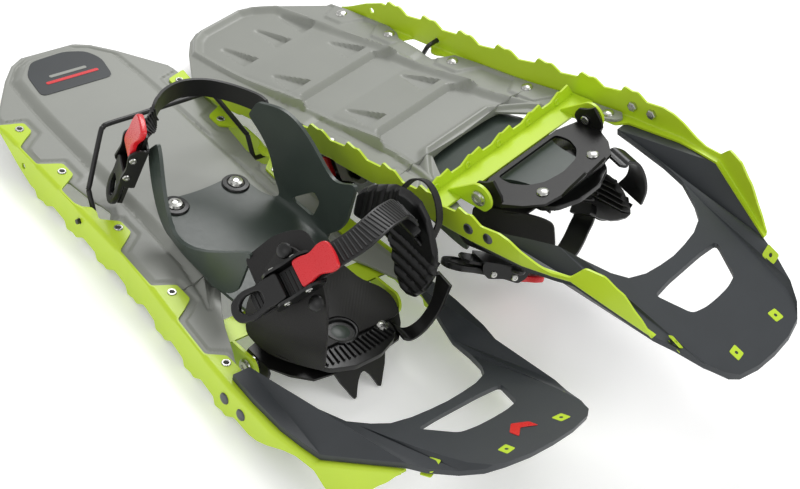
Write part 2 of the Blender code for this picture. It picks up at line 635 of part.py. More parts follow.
def build_buckle(shoe, frame, prefix, reach):
    """Ratchet buckle: channel body, pull lever of a given reach, red release on the other pin."""
    pins = {"lever": -PIN_A, "release": PIN_A}
    half = BODY_HALF
    points, faces = frame_slab(frame, [(-half, -BODY_SIDE), (half, -BODY_SIDE), (half, BODY_SIDE),
                                       (-half, BODY_SIDE)], 0.0, 1.6)
    body = shoe.make(f"{prefix}_buckle", shoe.across(points), faces, "black", pivot=PIVOT)
    cheek = [(-half + 1, 1.0), (half - 1, 1.0), (half - 3, 8), (PIN_A + 3, 13), (-PIN_A - 3, 13),
             (-half + 3, 8)]
    for way in (1, -1):
        low, high = sorted((way * (BODY_SIDE - CHEEK_SHEET), way * (BODY_SIDE - 0.05)))
        points, faces = frame_prism(frame, cheek, low, high)
        boolean(body, shoe.make("buckle_cheek", shoe.across(points), faces, "black", pivot=PIVOT), "UNION")
    for a in pins.values():
        points, faces = frame_prism(frame, disc_outline(a, PIN_C, BUCKLE_PIN + GAP, 10), -20, 20)
        boolean(body, shoe.make("pin_bore", shoe.across(points), faces, "black", pivot=PIVOT), "DIFFERENCE")

    inner = BODY_SIDE - CHEEK_SHEET - 0.5
    lever_pivot = shoe.across([frame.at(-PIN_A, 0, PIN_C)])[0]
    grip = [(-6.6, -inner), (-6.6, inner), (-14, inner), (-25, 9.5), (13 - reach, 11.5), (5 - reach, 9),
            (-reach, 0), (5 - reach, -9), (13 - reach, -11.5), (-25, -9.5), (-14, -inner)]
    points, faces = frame_slab(frame, grip, 6.6, 11.4)
    lever = shoe.make(f"{prefix}_lever", shoe.across(points), faces, "black", pivot=lever_pivot)
    hole = [(-23, -4.5), (-23, 4.5), (13 - reach, 6.5), (7 - reach, 0), (13 - reach, -6.5)]
    points, faces = frame_slab(frame, hole, 2, 16)
    boolean(lever, shoe.make("grip_hole", shoe.across(points), faces, "black", pivot=lever_pivot),
            "DIFFERENCE")
    points, faces = frame_prism(frame, disc_outline(-PIN_A, PIN_C, BUCKLE_PIN, 10), -14, 14)
    boolean(lever, shoe.make("lever_pin", shoe.across(points), faces, "black", pivot=lever_pivot), "UNION")

    release_pivot = shoe.across([frame.at(PIN_A, 0, PIN_C)])[0]
    paddle = [(6.6, -inner), (6.6, inner), (16, 9.5), (24, 8.5), (31, 11.5), (36, 10), (37.5, 0), (36, -10),
              (31, -11.5), (24, -8.5), (16, -9.5)]
    points, faces = frame_slab(frame, paddle, 6.6, 11.6)
    release = shoe.make(f"{prefix}_release", shoe.across(points), faces, "red", pivot=release_pivot)
    points, faces = frame_prism(frame, disc_outline(PIN_A, PIN_C, BUCKLE_PIN, 10), -14, 14)
    boolean(release, shoe.make("release_pin", shoe.across(points), faces, "red", pivot=release_pivot),
            "UNION")
    return body


# ---- Straps ----------------------------------------------------------------------------------
STRAP_C = 3.3                      # middle of a strap above a buckle's base
STRAP = 2.4
TOE_STRAP_WIDTH = 20.0
HEEL_STRAP_WIDTH = 16.0


def build_toe_strap(shoe):
    """Toothed strap from the instep pad over the foot into the toe buckle."""
    frame = shoe.fit.toe
    ends = [frame.at(a, 0, STRAP_C) for a in (-34, -22, 0, 22, 28)]
    route = smooth_path([*ends, *shoe.fit.over_foot], 3)
    cross = [frame.b] * 13 + [Vector((1.0, 0.0, -0.1))] * (len(route) - 13)
    points, faces = band(route, [TOE_STRAP_WIDTH] * len(route), cross)
    return shoe.make("toe_strap", shoe.across(points), faces, "black", pivot=PIVOT, thickness=STRAP)


def build_heel_strap(shoe):
    """Toothed strap round the back of the heel into the heel buckle."""
    frame = shoe.fit.heel
    level = Vector((0.0, 0.0, 1.0))
    along = frame.b if frame.b.z > 0.0 else -frame.b
    ends = [frame.at(a, 0, STRAP_C) for a in (28, 22, 0, -22, -34, -46)]
    route = smooth_path([*shoe.fit.round_heel, *ends], 3)
    turn = len(route) - 16
    cross = [level] * (turn - 10) + [level.lerp(along, (k + 1) / 11) for k in range(10)] + [along] * 16
    points, faces = band(route, [HEEL_STRAP_WIDTH] * len(route), cross)
    strap = shoe.make("heel_strap", shoe.across(points), faces, "black", pivot=PIVOT, thickness=STRAP)
    strap.modifiers["wall"].use_even_offset = False
    strap.modifiers.new("flat", "TRIANGULATE").quad_method = "FIXED"
    return strap


# ---- Wings, pad and loop ---------------------------------------------------------------------
def build_toe_wing(shoe):
    """Stiff flap from the toe plate up to the toe buckle, behind which it bolts to the harness."""
    top = shoe.fit.toe.origin
    lean = shoe.fit.toe.c * -2.6
    low = [(376, 60, 2), (398, 57, -1), (418, 46, 1.5), (436, 38, 6)]
    middle = [(371, 59, 34), (392, 58, 32), (416, 53, 33), (438, 43, 34)]
    high = [tuple(top + lean + a * shoe.fit.toe.a + b * shoe.fit.toe.b)
            for a, b in ((4, -30), (14, -14), (18, 8), (12, 26))]
    points = [p for trio in zip(low, middle, high) for p in trio]
    faces = []
    for k in range(len(low) - 1):
        a = 3 * k
        faces += [(a, a + 3, a + 4, a + 1), (a + 1, a + 4, a + 5, a + 2)]
    return shoe.make("toe_wing", shoe.across(points), faces, "black", pivot=PIVOT, thickness=3.0)


def build_instep_pad(shoe):
    """Ribbed pad over the instep on the side away from the buckles."""
    rows = shoe.fit.pad
    points = [p for row in rows for p in row]
    faces = []
    for k in range(len(rows) - 1):
        for j in range(2):
            a = 3 * k + j
            faces.append((a, a + 3, a + 4, a + 1))
    return shoe.make("instep_pad", shoe.across(points), faces, "black", pivot=PIVOT, thickness=5.0)


def build_toe_arm(shoe):
    """Curved arm from the front of the toe plate up to the instep pad."""
    route = smooth_path(shoe.fit.arm, 3)
    points, faces = band(route, [shoe.fit.arm_width] * len(route), [Vector((1.0, 0.25, 0.15))] * len(route))
    return shoe.make("toe_arm", shoe.across(points), faces, "urethane", pivot=PIVOT, thickness=2.6)


def build_pull_loop(shoe):
    """Webbing loop over the instep pad, to pull the harness open."""
    route = smooth_path(shoe.fit.loop, 3)
    points, faces = band(route, [7.0] * len(route), [Vector((0.0, 1.0, 0.35))] * len(route))
    return shoe.make("pull_loop", shoe.across(points), faces, "black", pivot=PIVOT, thickness=1.4)


# ---- Heel lift wire --------------------------------------------------------------------------
def build_heel_bail(shoe):
    """Bent wire heel lift, its two feet in the rails."""
    lean = math.radians(BAIL_LEAN)
    x0, _, z0 = BAIL_PIVOT

    def spot(t, y):
        return (x0 - t * math.sin(lean), y, z0 + t * math.cos(lean))

    half = [spot(0, 90.0), spot(0, 77.5), spot(1, 75.3), spot(3.5, 74.3), spot(20, 73.8), spot(24, 71.8),
            spot(58, 53.0), spot(62, 49.5), spot(63.5, 45.0), spot(63.5, 22.0)]
    route = half + [spot(63.5, 0)] + [(x, -y, z) for x, y, z in reversed(half)]
    curve = bpy.data.curves.new("heel_bail", "CURVE")
    curve.dimensions = "3D"
    curve.bevel_depth = WIRE_RADIUS * UNIT
    curve.bevel_resolution = 2
    curve.use_fill_caps = True
    line = curve.splines.new("POLY")
    line.points.add(len(route) - 1)
    for knot, p in zip(line.points, route):
        knot.co = (*((Vector(p) - Vector(BAIL_PIVOT)) * UNIT), 1.0)
    item = bpy.data.objects.new(f"{shoe.name}_heel_bail", curve)
    bpy.context.scene.collection.objects.link(item)
    curve.materials.append(material("black"))
    item.matrix_world = shoe.matrix(BAIL_PIVOT)
    return item


# ---- The pair --------------------------------------------------------------------------------
def build_shoe(shoe):
    """All the pieces of one shoe."""
    build_deck(shoe)
    build_rail(shoe, "rail_outer", 1)
    build_rail(shoe, "rail_inner", -1)
    build_nose(shoe)
    build_crossbar(shoe)
    build_pin(shoe, "pivot_pin_outer", 1)
    build_pin(shoe, "pivot_pin_inner", -1)
    build_crampon(shoe)
    build_toe_plate(shoe)
    build_toe_rivet(shoe, "toe_rivet_outer", 1)
    build_toe_rivet(shoe, "toe_rivet_inner", -1)
    build_harness(shoe)
    build_bolt(shoe, "heel_bolt_outer", 1)
    build_bolt(shoe, "heel_bolt_inner", -1)
    build_toe_wing(shoe)
    build_instep_pad(shoe)
    build_toe_arm(shoe)
    build_pull_loop(shoe)
    build_buckle(shoe, shoe.fit.toe, "toe", TOE_REACH)
    build_buckle(shoe, shoe.fit.heel, "heel", HEEL_REACH)
    build_toe_strap(shoe)
    build_heel_strap(shoe)
    build_heel_bail(shoe)


def place_matrices():
    """World matrices of the standing shoe and of the turned-over one."""
    stand = Matrix.Translation(Vector((-PAIR_CENTRE[0], -PAIR_CENTRE[1], RAIL_DEPTH)) * UNIT)
    yaw, pitch, roll = (math.radians(angle) for angle in TURNED_ANGLES)
    turn = Matrix.Rotation(yaw, 4, "Z") @ Matrix.Rotation(pitch, 4, "Y") @ Matrix.Rotation(roll, 4, "X")
    return stand, stand @ Matrix.Translation(Vector(TURNED_AT) * UNIT) @ turn


def main():
    """Build both shoes."""
    clear_scene()
    stand, turned = place_matrices()
    build_shoe(Shoe("right", stand, -1, STANDING_FIT))
    build_shoe(Shoe("left", turned, 1, FLATTENED_FIT))


main()
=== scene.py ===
"""Finished looks for a pair of moulded-deck snowshoes: one on its rails, one turned over beside it.

Each shoe is drawn once in drawing units, x from tail to nose, y to the left and z up, with the top of
the steel rail's flange at z = 0. Across the binding, v points to the buckle side. The classes below
build one sub-assembly each, dress it and let it ride on the body that it belongs to.
"""

import json
import logging
import math
from collections.abc import Callable, Sequence
from dataclasses import dataclass, field
from enum import Enum

import bmesh
import bpy
import numpy as np
from mathutils import Matrix, Vector
from mathutils.geometry import tessellate_polygon

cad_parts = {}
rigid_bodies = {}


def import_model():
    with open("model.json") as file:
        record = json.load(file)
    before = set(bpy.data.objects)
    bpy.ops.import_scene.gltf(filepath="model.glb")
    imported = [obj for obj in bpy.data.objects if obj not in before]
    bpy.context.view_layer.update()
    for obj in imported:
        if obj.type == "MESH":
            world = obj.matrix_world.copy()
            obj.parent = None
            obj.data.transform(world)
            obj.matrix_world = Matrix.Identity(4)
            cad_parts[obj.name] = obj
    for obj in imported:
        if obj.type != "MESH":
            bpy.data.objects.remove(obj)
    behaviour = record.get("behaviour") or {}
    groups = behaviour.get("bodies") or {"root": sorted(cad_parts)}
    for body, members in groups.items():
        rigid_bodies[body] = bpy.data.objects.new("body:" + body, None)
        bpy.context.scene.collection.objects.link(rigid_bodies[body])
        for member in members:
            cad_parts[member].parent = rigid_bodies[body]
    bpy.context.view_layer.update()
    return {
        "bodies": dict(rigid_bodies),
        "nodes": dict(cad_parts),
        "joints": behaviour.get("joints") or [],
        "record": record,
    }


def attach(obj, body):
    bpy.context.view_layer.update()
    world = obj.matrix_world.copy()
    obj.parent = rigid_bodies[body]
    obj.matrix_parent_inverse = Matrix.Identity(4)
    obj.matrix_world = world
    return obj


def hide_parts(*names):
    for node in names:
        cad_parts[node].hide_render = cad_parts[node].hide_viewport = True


LOG = logging.getLogger("snowshoes")

Point = tuple[float, float, float]
Pair = tuple[float, float]
Points = Sequence[Sequence[float]]
Faces = Sequence[Sequence[int]]

# ---- Sizes shared by the whole pair ------------------------------------------------------------
UNIT = 0.203 / 197.0               # metres in one drawing unit: the rails are 203 mm apart outside
MM = 0.001
STEEL = 1.8                        # rail and crossbar sheet
GAP = 0.35                         # clearance between two pieces that lie on each other
DECK_SHEET = 2.5
DECK_TOP = -STEEL - GAP            # top of the deck's flange, under the rail's
PANEL_TOP = 3.5                    # top of the deck's raised panel
PIVOT = (390.0, 0.0, -14.0)        # binding pins
BAIL_PIVOT = (206.0, 0.0, -9.0)    # feet of the heel wire
RAIL_DEPTH = 28.5                  # from the rail's flange down to its tooth tips
TAB_RIVETS = [(100.0, 74.6), (159.5, 74.0), (234.8, 73.2), (312.3, 79.2), (390.0, 88.0)]
EDGE_ANGLE = 38.0                  # degrees; sharper edges than this are rounded
LARGE_FACE_WEIGHT = 90             # how far large faces set the shading of rounded edges


# ---- Finishes ----------------------------------------------------------------------------------
class Pattern(Enum):
    """How a surface was made, which decides its relief."""

    MOULDED = "fine spark-eroded mould grain"
    POWDER = "orange peel of a powder coat"
    WOVEN = "crossed yarns"
    TURNED = "fine turning marks"
    CLEAR = "smooth, with soft inner mottling"


def linear(code: str) -> tuple[float, float, float, float]:
    """Linear colour of an sRGB hex value.

    Args:
        code: six hex digits after a hash.

    Returns:
        Red, green, blue and an alpha of 1.
    """
    parts = [int(code[k:k + 2], 16) / 255.0 for k in (1, 3, 5)]
    r, g, b = [c / 12.92 if c <= 0.04045 else ((c + 0.055) / 1.055) ** 2.4 for c in parts]
    return r, g, b, 1.0


def add_node(tree: bpy.types.NodeTree, kind: str, inputs: dict | None = None,
             **settings: object) -> bpy.types.Node:
    """Add a node with its settings and links.

    Args:
        tree: the node tree.
        kind: the node's type name.
        inputs: socket name or number to a value, or to the socket it is linked from.
        settings: properties of the node.

    Returns:
        The new node.
    """
    made = tree.nodes.new(kind)
    for key, value in settings.items():
        setattr(made, key, value)
    for key, value in (inputs or {}).items():
        if isinstance(value, bpy.types.NodeSocket):
            tree.links.new(value, made.inputs[key])
        else:
            made.inputs[key].default_value = value
    return made


@dataclass(frozen=True)
class Finish:
    """One real material and how its surface was made."""

    name: str
    slot: str
    colour: str
    shade: str
    pattern: Pattern
    pitch_mm: float                # spacing of the relief
    relief_mm: float               # height of the relief
    roughness: float
    metallic: float = 0.0
    ior: float = 1.5
    coat: float = 0.0
    clear: float = 0.0             # share of light that goes through
    blotch_mm: float = 22.0        # size of the slow colour change

    def build(self) -> bpy.types.Material:
        """Make the material.

        Returns:
            The material, built once.
        """
        if self.name in bpy.data.materials:
            return bpy.data.materials[self.name]
        made = bpy.data.materials.new(self.name)
        made.use_nodes = True
        made.diffuse_color = linear(self.colour)
        tree = made.node_tree
        shader = tree.nodes["Principled BSDF"]
        shader.inputs["Metallic"].default_value = self.metallic
        if self.metallic < 0.5:
            shader.inputs["IOR"].default_value = self.ior
        shader.inputs["Coat Weight"].default_value = self.coat
        shader.inputs["Coat Roughness"].default_value = 0.12
        if self.clear:
            shader.inputs["Transmission Weight"].default_value = self.clear
        place = add_node(tree, "ShaderNodeTexCoord")
        spot = place.outputs["Object"]
        slow = add_node(tree, "ShaderNodeTexNoise", {"Vector": spot, "Scale": 1.0 / (self.blotch_mm * MM),
                                                     "Detail": 3.0, "Roughness": 0.55})
        tint = add_node(tree, "ShaderNodeMix", {0: slow.outputs["Fac"], 6: linear(self.shade),
                                                7: linear(self.colour)}, data_type="RGBA")
        height, fine = self.relief(tree, spot)
        if self.pattern is Pattern.WOVEN:
            tint = add_node(tree, "ShaderNodeMix", {0: height, 6: linear(self.shade), 7: tint.outputs[2]},
                            data_type="RGBA")
        tree.links.new(tint.outputs[2], shader.inputs["Base Color"])
        gloss = add_node(tree, "ShaderNodeMapRange", {"Value": fine, "To Min": self.roughness - 0.06,
                                                      "To Max": self.roughness + 0.07})
        tree.links.new(gloss.outputs["Result"], shader.inputs["Roughness"])
        bump = add_node(tree, "ShaderNodeBump", {"Height": height, "Distance": self.relief_mm * MM,
                                                 "Strength": 0.7})
        tree.links.new(bump.outputs["Normal"], shader.inputs["Normal"])
        return made

    def relief(self, tree: bpy.types.NodeTree, spot: bpy.types.NodeSocket
               ) -> tuple[bpy.types.NodeSocket, bpy.types.NodeSocket]:
        """Relief of the surface.

        Args:
            tree: the material's tree.
            spot: the position socket.

        Returns:
            The height socket and the socket that varies the roughness.
        """
        per_metre = 1.0 / (self.pitch_mm * MM)
        grain = add_node(tree, "ShaderNodeTexNoise", {"Vector": spot, "Scale": per_metre, "Detail": 2.0})
        if self.pattern is Pattern.WOVEN:
            waves = [add_node(tree, "ShaderNodeTexWave", {"Vector": spot, "Scale": per_metre / math.tau,
                                                          "Distortion": 0.6, "Detail": 1.0},
                              wave_type="BANDS", bands_direction=way) for way in ("DIAGONAL", "Z")]
            cross = add_node(tree, "ShaderNodeMath", {0: waves[0].outputs["Fac"], 1: waves[1].outputs["Fac"]},
                             operation="MULTIPLY")
            return cross.outputs[0], grain.outputs["Fac"]
        if self.pattern is Pattern.TURNED:
            rings = add_node(tree, "ShaderNodeTexWave", {"Vector": spot, "Scale": per_metre / math.tau,
                                                         "Distortion": 1.5}, wave_type="RINGS")
            return rings.outputs["Fac"], grain.outputs["Fac"]
        if self.pattern is Pattern.POWDER:
            cells = add_node(tree, "ShaderNodeTexVoronoi", {"Vector": spot, "Scale": per_metre},
                             feature="SMOOTH_F1")
            return cells.outputs["Distance"], grain.outputs["Fac"]
        return grain.outputs["Fac"], grain.outputs["Fac"]


# High-density polyethylene, injection moulded: milky grey with a faint satin grain.
DECK = Finish("moulded polyethylene grey", "deck", "#959790", "#8C8E88", Pattern.MOULDED, 0.7, 0.05, 0.42,
              ior=1.53, blotch_mm=60.0)
# Powder-coated steel: an even, lively film with a soft orange peel.
LIME = Finish("powder coated steel lime", "lime", "#C6E22D", "#BBD926", Pattern.POWDER, 0.9, 0.03, 0.38,
              coat=0.15, blotch_mm=45.0)
# Glass-filled nylon, moulded: blue-grey, finely grained, a dull sheen on its edges.
NOSE = Finish("moulded nylon slate", "nose", "#34383C", "#2C3033", Pattern.MOULDED, 0.6, 0.06, 0.46)
# Cast polyurethane: dark smoky green that lets a little light through.
URETHANE = Finish("cast urethane smoke", "urethane", "#4C574F", "#37413D", Pattern.CLEAR, 3.0, 0.05, 0.34,
                  ior=1.48, clear=0.22, blotch_mm=40.0)
# Moulded nylon, black, with a slight gloss.
BLACK = Finish("moulded nylon black", "black", "#131313", "#0D0D0D", Pattern.MOULDED, 0.6, 0.04, 0.34)
# Coated woven fabric, black with a brown cast.
FABRIC = Finish("coated fabric black", "webbing", "#161312", "#0F0D0C", Pattern.WOVEN, 0.8, 0.10, 0.6)
# Flat woven polyester tape.
TAPE = Finish("woven tape black", "webbing", "#161514", "#0D0C0C", Pattern.WOVEN, 1.0, 0.18, 0.62)
# Extruded thermoplastic strap, satin.
STRAP = Finish("moulded strap black", "strap", "#1B1B1B", "#131313", Pattern.MOULDED, 0.5, 0.04, 0.4)
# Spring steel wire under a black coat.
WIRE = Finish("coated wire black", "wire", "#202020", "#161616", Pattern.POWDER, 0.8, 0.03, 0.36)
# Heat-treated steel with a black coat, slightly worn.
CRAMPON = Finish("black coated steel", "crampon", "#151413", "#0E0E0D", Pattern.POWDER, 0.9, 0.05, 0.42,
                 metallic=0.3)
# Moulded acetal, red, glossy.
RED = Finish("moulded acetal red", "red", "#E3202B", "#CE1822", Pattern.MOULDED, 0.7, 0.02, 0.28, coat=0.3)
# Zinc-plated steel rivets, bright with turning marks.
ZINC = Finish("zinc plated steel", "steel", "#D2D2CE", "#B4B4B0", Pattern.TURNED, 0.5, 0.01, 0.26,
              metallic=1.0)
# Burnished dark steel bolts.
GUNMETAL = Finish("burnished steel dark", "steel", "#6A6C70", "#505256", Pattern.TURNED, 0.5, 0.01, 0.32,
                  metallic=0.9)
# Printed vinyl label, near black.
LABEL = Finish("vinyl label charcoal", "black", "#2A3034", "#23282B", Pattern.MOULDED, 0.4, 0.01, 0.4)
# Painted shade: a dark disc that stands for the shadow inside the hollow of a tube rivet.
HOLLOW_SHADE = Finish("rivet hollow painted shade", "steel", "#2C2D2B", "#222321", Pattern.MOULDED, 0.4, 0.01, 0.6)
FLOOR = Finish("matt paper floor", "deck", "#FFFFFF", "#FDFDFD", Pattern.MOULDED, 2.0, 0.01, 0.9)


# ---- Shape helpers -----------------------------------------------------------------------------
def read_at(line: Sequence[Pair], x: float) -> float:
    """Value at x on a polyline of (x, value) pairs, level past its ends."""
    return float(np.interp(x, [p[0] for p in line], [p[1] for p in line]))


def mirrored(half: Sequence[Pair]) -> list[Pair]:
    """Close a half outline given on the left, by its mirror image on the right."""
    return list(half) + [(x, -y) for x, y in reversed(half) if abs(y) > 1e-6]


def smooth_path(points: Points, per_span: int = 4) -> list[Vector]:
    """Catmull-Rom curve through points, open at both ends.

    Args:
        points: the points that it runs through.
        per_span: steps between two of them.

    Returns:
        The curve's points.
    """
    knots = [Vector(p) for p in points]
    knots = [knots[0] * 2 - knots[1]] + knots + [knots[-1] * 2 - knots[-2]]
    curve = []
    for k in range(1, len(knots) - 2):
        a, b, c, d = knots[k - 1:k + 3]
        for step in range(per_span):
            t = step / per_span
            curve.append(0.5 * ((2 * b) + (c - a) * t + (2 * a - 5 * b + 4 * c - d) * t * t
                                + (3 * b - a - 3 * c + d) * t ** 3))
    curve.append(knots[-2])
    return curve


class Axis(Enum):
    """The way that an outline is swept, as the place of its level among x, y and z."""

    X = 0
    Y = 1
    Z = 2


def prism(outline: Sequence[Pair], low: float, high: float, along: Axis = Axis.Z) -> tuple[Points, Faces]:
    """Closed solid of a flat outline swept between two levels.

    Args:
        outline: the outline in the other two directions.
        low: first level.
        high: second level.
        along: the way of the sweep.

    Returns:
        The solid's points and faces.
    """
    count = len(outline)
    points = [(*pair[:along.value], level, *pair[along.value:]) for level in (low, high) for pair in outline]
    faces = [tuple(range(count)), tuple(range(count, 2 * count))]
    faces += [(i, (i + 1) % count, (i + 1) % count + count, i + count) for i in range(count)]
    return points, faces


def disc(x: float, y: float, radius: float, sides: int = 24) -> list[Pair]:
    """Points of a circle."""
    return [(x + radius * math.cos(math.tau * k / sides), y + radius * math.sin(math.tau * k / sides))
            for k in range(sides)]


def turned(profile: Sequence[Pair], sides: int = 24) -> tuple[Points, Faces]:
    """Solid turned about z.

    Args:
        profile: (radius, z) pairs from the bottom centre to the top centre.
        sides: facets around it.

    Returns:
        The solid's points and faces.
    """
    points: list[Point] = []
    for radius, z in profile:
        points += [(a, b, z) for a, b in disc(0, 0, radius, sides)]
    last = (len(profile) - 1) * sides
    faces: list[tuple[int, ...]] = [tuple(range(sides)), tuple(range(last, last + sides))]
    for ring in range(len(profile) - 1):
        for k in range(sides):
            a, b = ring * sides + k, ring * sides + (k + 1) % sides
            faces.append((a, b, b + sides, a + sides))
    return points, faces


def rounded(outline: Sequence[Pair], radius: float, steps: int = 3) -> list[Pair]:
    """Round the corners of a closed outline.

    Args:
        outline: the corners.
        radius: how far a curve reaches from its corner; short sides get less.
        steps: chords of each curve.

    Returns:
        The rounded outline.
    """
    result: list[Pair] = []
    count = len(outline)
    for k in range(count):
        before, here, after = (Vector(outline[(k + s) % count]) for s in (-1, 0, 1))
        one, two = before - here, after - here
        reach = min(radius, one.length * 0.45, two.length * 0.45)
        start, end = here + one.normalized() * reach, here + two.normalized() * reach
        for step in range(steps + 1):
            t = step / steps
            spot = start.lerp(here, t).lerp(here.lerp(end, t), t)
            result.append((spot.x, spot.y))
    return result


def welded(points: Points, faces: Faces, depth: float) -> tuple[list[Point], list[tuple[int, ...]]]:
    """Closed solid under an open sheet, after points that lie together have been made one.

    Args:
        points: the sheet's points.
        faces: its faces.
        depth: how far down the solid reaches.

    Returns:
        The solid's points and faces.
    """
    spots: list[Point] = []
    index: list[int] = []
    for p in points:
        same = [k for k, q in enumerate(spots) if (Vector(p) - Vector(q)).length < 0.02]
        index.append(same[0] if same else len(spots))
        if not same:
            spots.append(tuple(p))
    kept = [tuple(index[k] for k in face) for face in faces]
    kept = [face for face in kept if len(set(face)) == len(face)]
    count = len(spots)
    edges: dict[frozenset[int], int] = {}
    for face in kept:
        for a, b in zip(face, (*face[1:], face[0])):
            edges[frozenset((a, b))] = edges.get(frozenset((a, b)), 0) + 1
    solid = kept + [tuple(reversed([k + count for k in face])) for face in kept]
    for edge, uses in edges.items():
        if uses == 1:
            a, b = tuple(edge)
            solid.append((a, b, b + count, a + count))
    return spots + [(x, y, z - depth) for x, y, z in spots], solid


def flat_faces(outline: Points, holes: Sequence[Points] = ()) -> list[tuple[int, ...]]:
    """Triangles that fill an outline, its holes left open, with indices that run over all loops."""
    loops = [[Vector((p[0], p[1], 0.0)) for p in loop] for loop in (outline, *holes)]
    return [tuple(face) for face in tessellate_polygon(loops)]


def grid_faces(rows: int, columns: int, start: int = 0) -> list[tuple[int, ...]]:
    """Quads of a grid stored row by row."""
    return [(start + r * columns + c, start + (r + 1) * columns + c, start + (r + 1) * columns + c + 1,
             start + r * columns + c + 1) for r in range(rows - 1) for c in range(columns - 1)]


def band(path: Sequence[Vector], widths: Sequence[float], cross: Points, columns: int = 2
         ) -> tuple[Points, Faces]:
    """Open sheet strip that runs along a path.

    Args:
        path: its middle line.
        widths: its width at each point.
        cross: the way across it at each point.
        columns: points across it.

    Returns:
        The strip's points and faces.
    """
    points = []
    for spot, width, way in zip(path, widths, cross):
        unit = Vector(way).normalized()
        points += [tuple(spot + unit * width * (c / (columns - 1) - 0.5)) for c in range(columns)]
    return points, grid_faces(len(path), columns)


# ---- Geometry Nodes trees ----------------------------------------------------------------------
def open_tree(name: str, sockets: Sequence[tuple[str, str]]) -> tuple[bpy.types.NodeTree, bpy.types.Node]:
    """Start a Geometry Nodes tree with named inputs.

    Args:
        name: the tree's name.
        sockets: (name, socket type) of each input after the geometry.

    Returns:
        The tree and its input node.
    """
    tree = bpy.data.node_groups.new(name, "GeometryNodeTree")
    tree.interface.new_socket("Geometry", in_out="INPUT", socket_type="NodeSocketGeometry")
    for label, kind in sockets:
        tree.interface.new_socket(label, in_out="INPUT", socket_type=kind)
    tree.interface.new_socket("Geometry", in_out="OUTPUT", socket_type="NodeSocketGeometry")
    return tree, add_node(tree, "NodeGroupInput")


def close_tree(tree: bpy.types.NodeTree, instances: bpy.types.NodeSocket,
               finish: bpy.types.NodeSocket) -> None:
    """End a tree in Realize Instances and Set Material.

    Args:
        tree: the tree.
        instances: socket of the placed instances.
        finish: socket of their material.
    """
    real = add_node(tree, "GeometryNodeRealizeInstances", {"Geometry": instances})
    dressed = add_node(tree, "GeometryNodeSetMaterial", {"Geometry": real.outputs[0], "Material": finish})
    add_node(tree, "NodeGroupOutput", {0: dressed.outputs[0]})


def stored_vector(tree: bpy.types.NodeTree, name: str) -> bpy.types.NodeSocket:
    """Socket that reads a named vector attribute."""
    read = add_node(tree, "GeometryNodeInputNamedAttribute", {"Name": name}, data_type="FLOAT_VECTOR")
    return read.outputs[0]


def fastener_tree() -> bpy.types.NodeTree:
    """Tree that sets a fastener on every point, its z along the stored up and its x along the stored way.

    Returns:
        The tree, built once.
    """
    if "fasteners" in bpy.data.node_groups:
        return bpy.data.node_groups["fasteners"]
    tree, given = open_tree("fasteners", [("Fastener", "NodeSocketObject"), ("Size", "NodeSocketFloat"),
                                          ("Finish", "NodeSocketMaterial")])
    spots = add_node(tree, "GeometryNodeMeshToPoints", {"Mesh": given.outputs["Geometry"]})
    head = add_node(tree, "GeometryNodeObjectInfo", {"Object": given.outputs["Fastener"]})
    turn = add_node(tree, "FunctionNodeAxesToRotation", {0: stored_vector(tree, "up"),
                                                         1: stored_vector(tree, "way")},
                    primary_axis="Z", secondary_axis="X")
    size = add_node(tree, "ShaderNodeCombineXYZ", {k: given.outputs["Size"] for k in range(3)})
    placed = add_node(tree, "GeometryNodeInstanceOnPoints", {"Points": spots.outputs[0],
                                                             "Instance": head.outputs["Geometry"],
                                                             "Rotation": turn.outputs[0],
                                                             "Scale": size.outputs[0]})
    close_tree(tree, placed.outputs[0], given.outputs["Finish"])
    return tree


def rib_tree() -> bpy.types.NodeTree:
    """Tree that lays half-round ribs across a path at an even spacing.

    Returns:
        The tree, built once.
    """
    if "ribs" in bpy.data.node_groups:
        return bpy.data.node_groups["ribs"]
    tree, given = open_tree("ribs", [("Spacing", "NodeSocketFloat"), ("Length", "NodeSocketFloat"),
                                     ("Width", "NodeSocketFloat"), ("Height", "NodeSocketFloat"),
                                     ("Finish", "NodeSocketMaterial")])
    path = add_node(tree, "GeometryNodeMeshToCurve", {"Mesh": given.outputs["Geometry"]})
    spots = add_node(tree, "GeometryNodeCurveToPoints", {"Curve": path.outputs[0],
                                                         "Length": given.outputs["Spacing"]}, mode="LENGTH")
    turn = add_node(tree, "FunctionNodeAxesToRotation", {0: spots.outputs["Tangent"],
                                                         1: stored_vector(tree, "up")},
                    primary_axis="X", secondary_axis="Z")
    bar = add_node(tree, "GeometryNodeMeshCylinder", {"Vertices": 10, "Radius": 0.5, "Depth": 1.0})
    lay = add_node(tree, "GeometryNodeTransform", {"Geometry": bar.outputs["Mesh"],
                                                   "Rotation": (math.pi / 2, 0.0, 0.0)})
    size = add_node(tree, "ShaderNodeCombineXYZ", {0: given.outputs["Width"], 1: given.outputs["Length"],
                                                   2: given.outputs["Height"]})
    placed = add_node(tree, "GeometryNodeInstanceOnPoints", {"Points": spots.outputs["Points"],
                                                             "Instance": lay.outputs[0],
                                                             "Rotation": turn.outputs[0],
                                                             "Scale": size.outputs[0]})
    close_tree(tree, placed.outputs[0], given.outputs["Finish"])
    return tree


def put_in(name: str, data: bpy.types.ID) -> bpy.types.Object:
    """Object of a mesh, curve, lamp or camera, put into the scene."""
    item = bpy.data.objects.new(name, data)
    bpy.context.scene.collection.objects.link(item)
    return item


def final_mesh(item: bpy.types.Object) -> bpy.types.Mesh:
    """Mesh of an object as its curve or its modifiers make it."""
    bpy.context.view_layer.update()
    graph = bpy.context.evaluated_depsgraph_get()
    return bpy.data.meshes.new_from_object(item.evaluated_get(graph))


def plain_mesh(item: bpy.types.Object) -> bpy.types.Object:
    """Turn an object's modifiers into its own mesh and remove them."""
    made = final_mesh(item)
    item.modifiers.clear()
    item.data = made
    return item


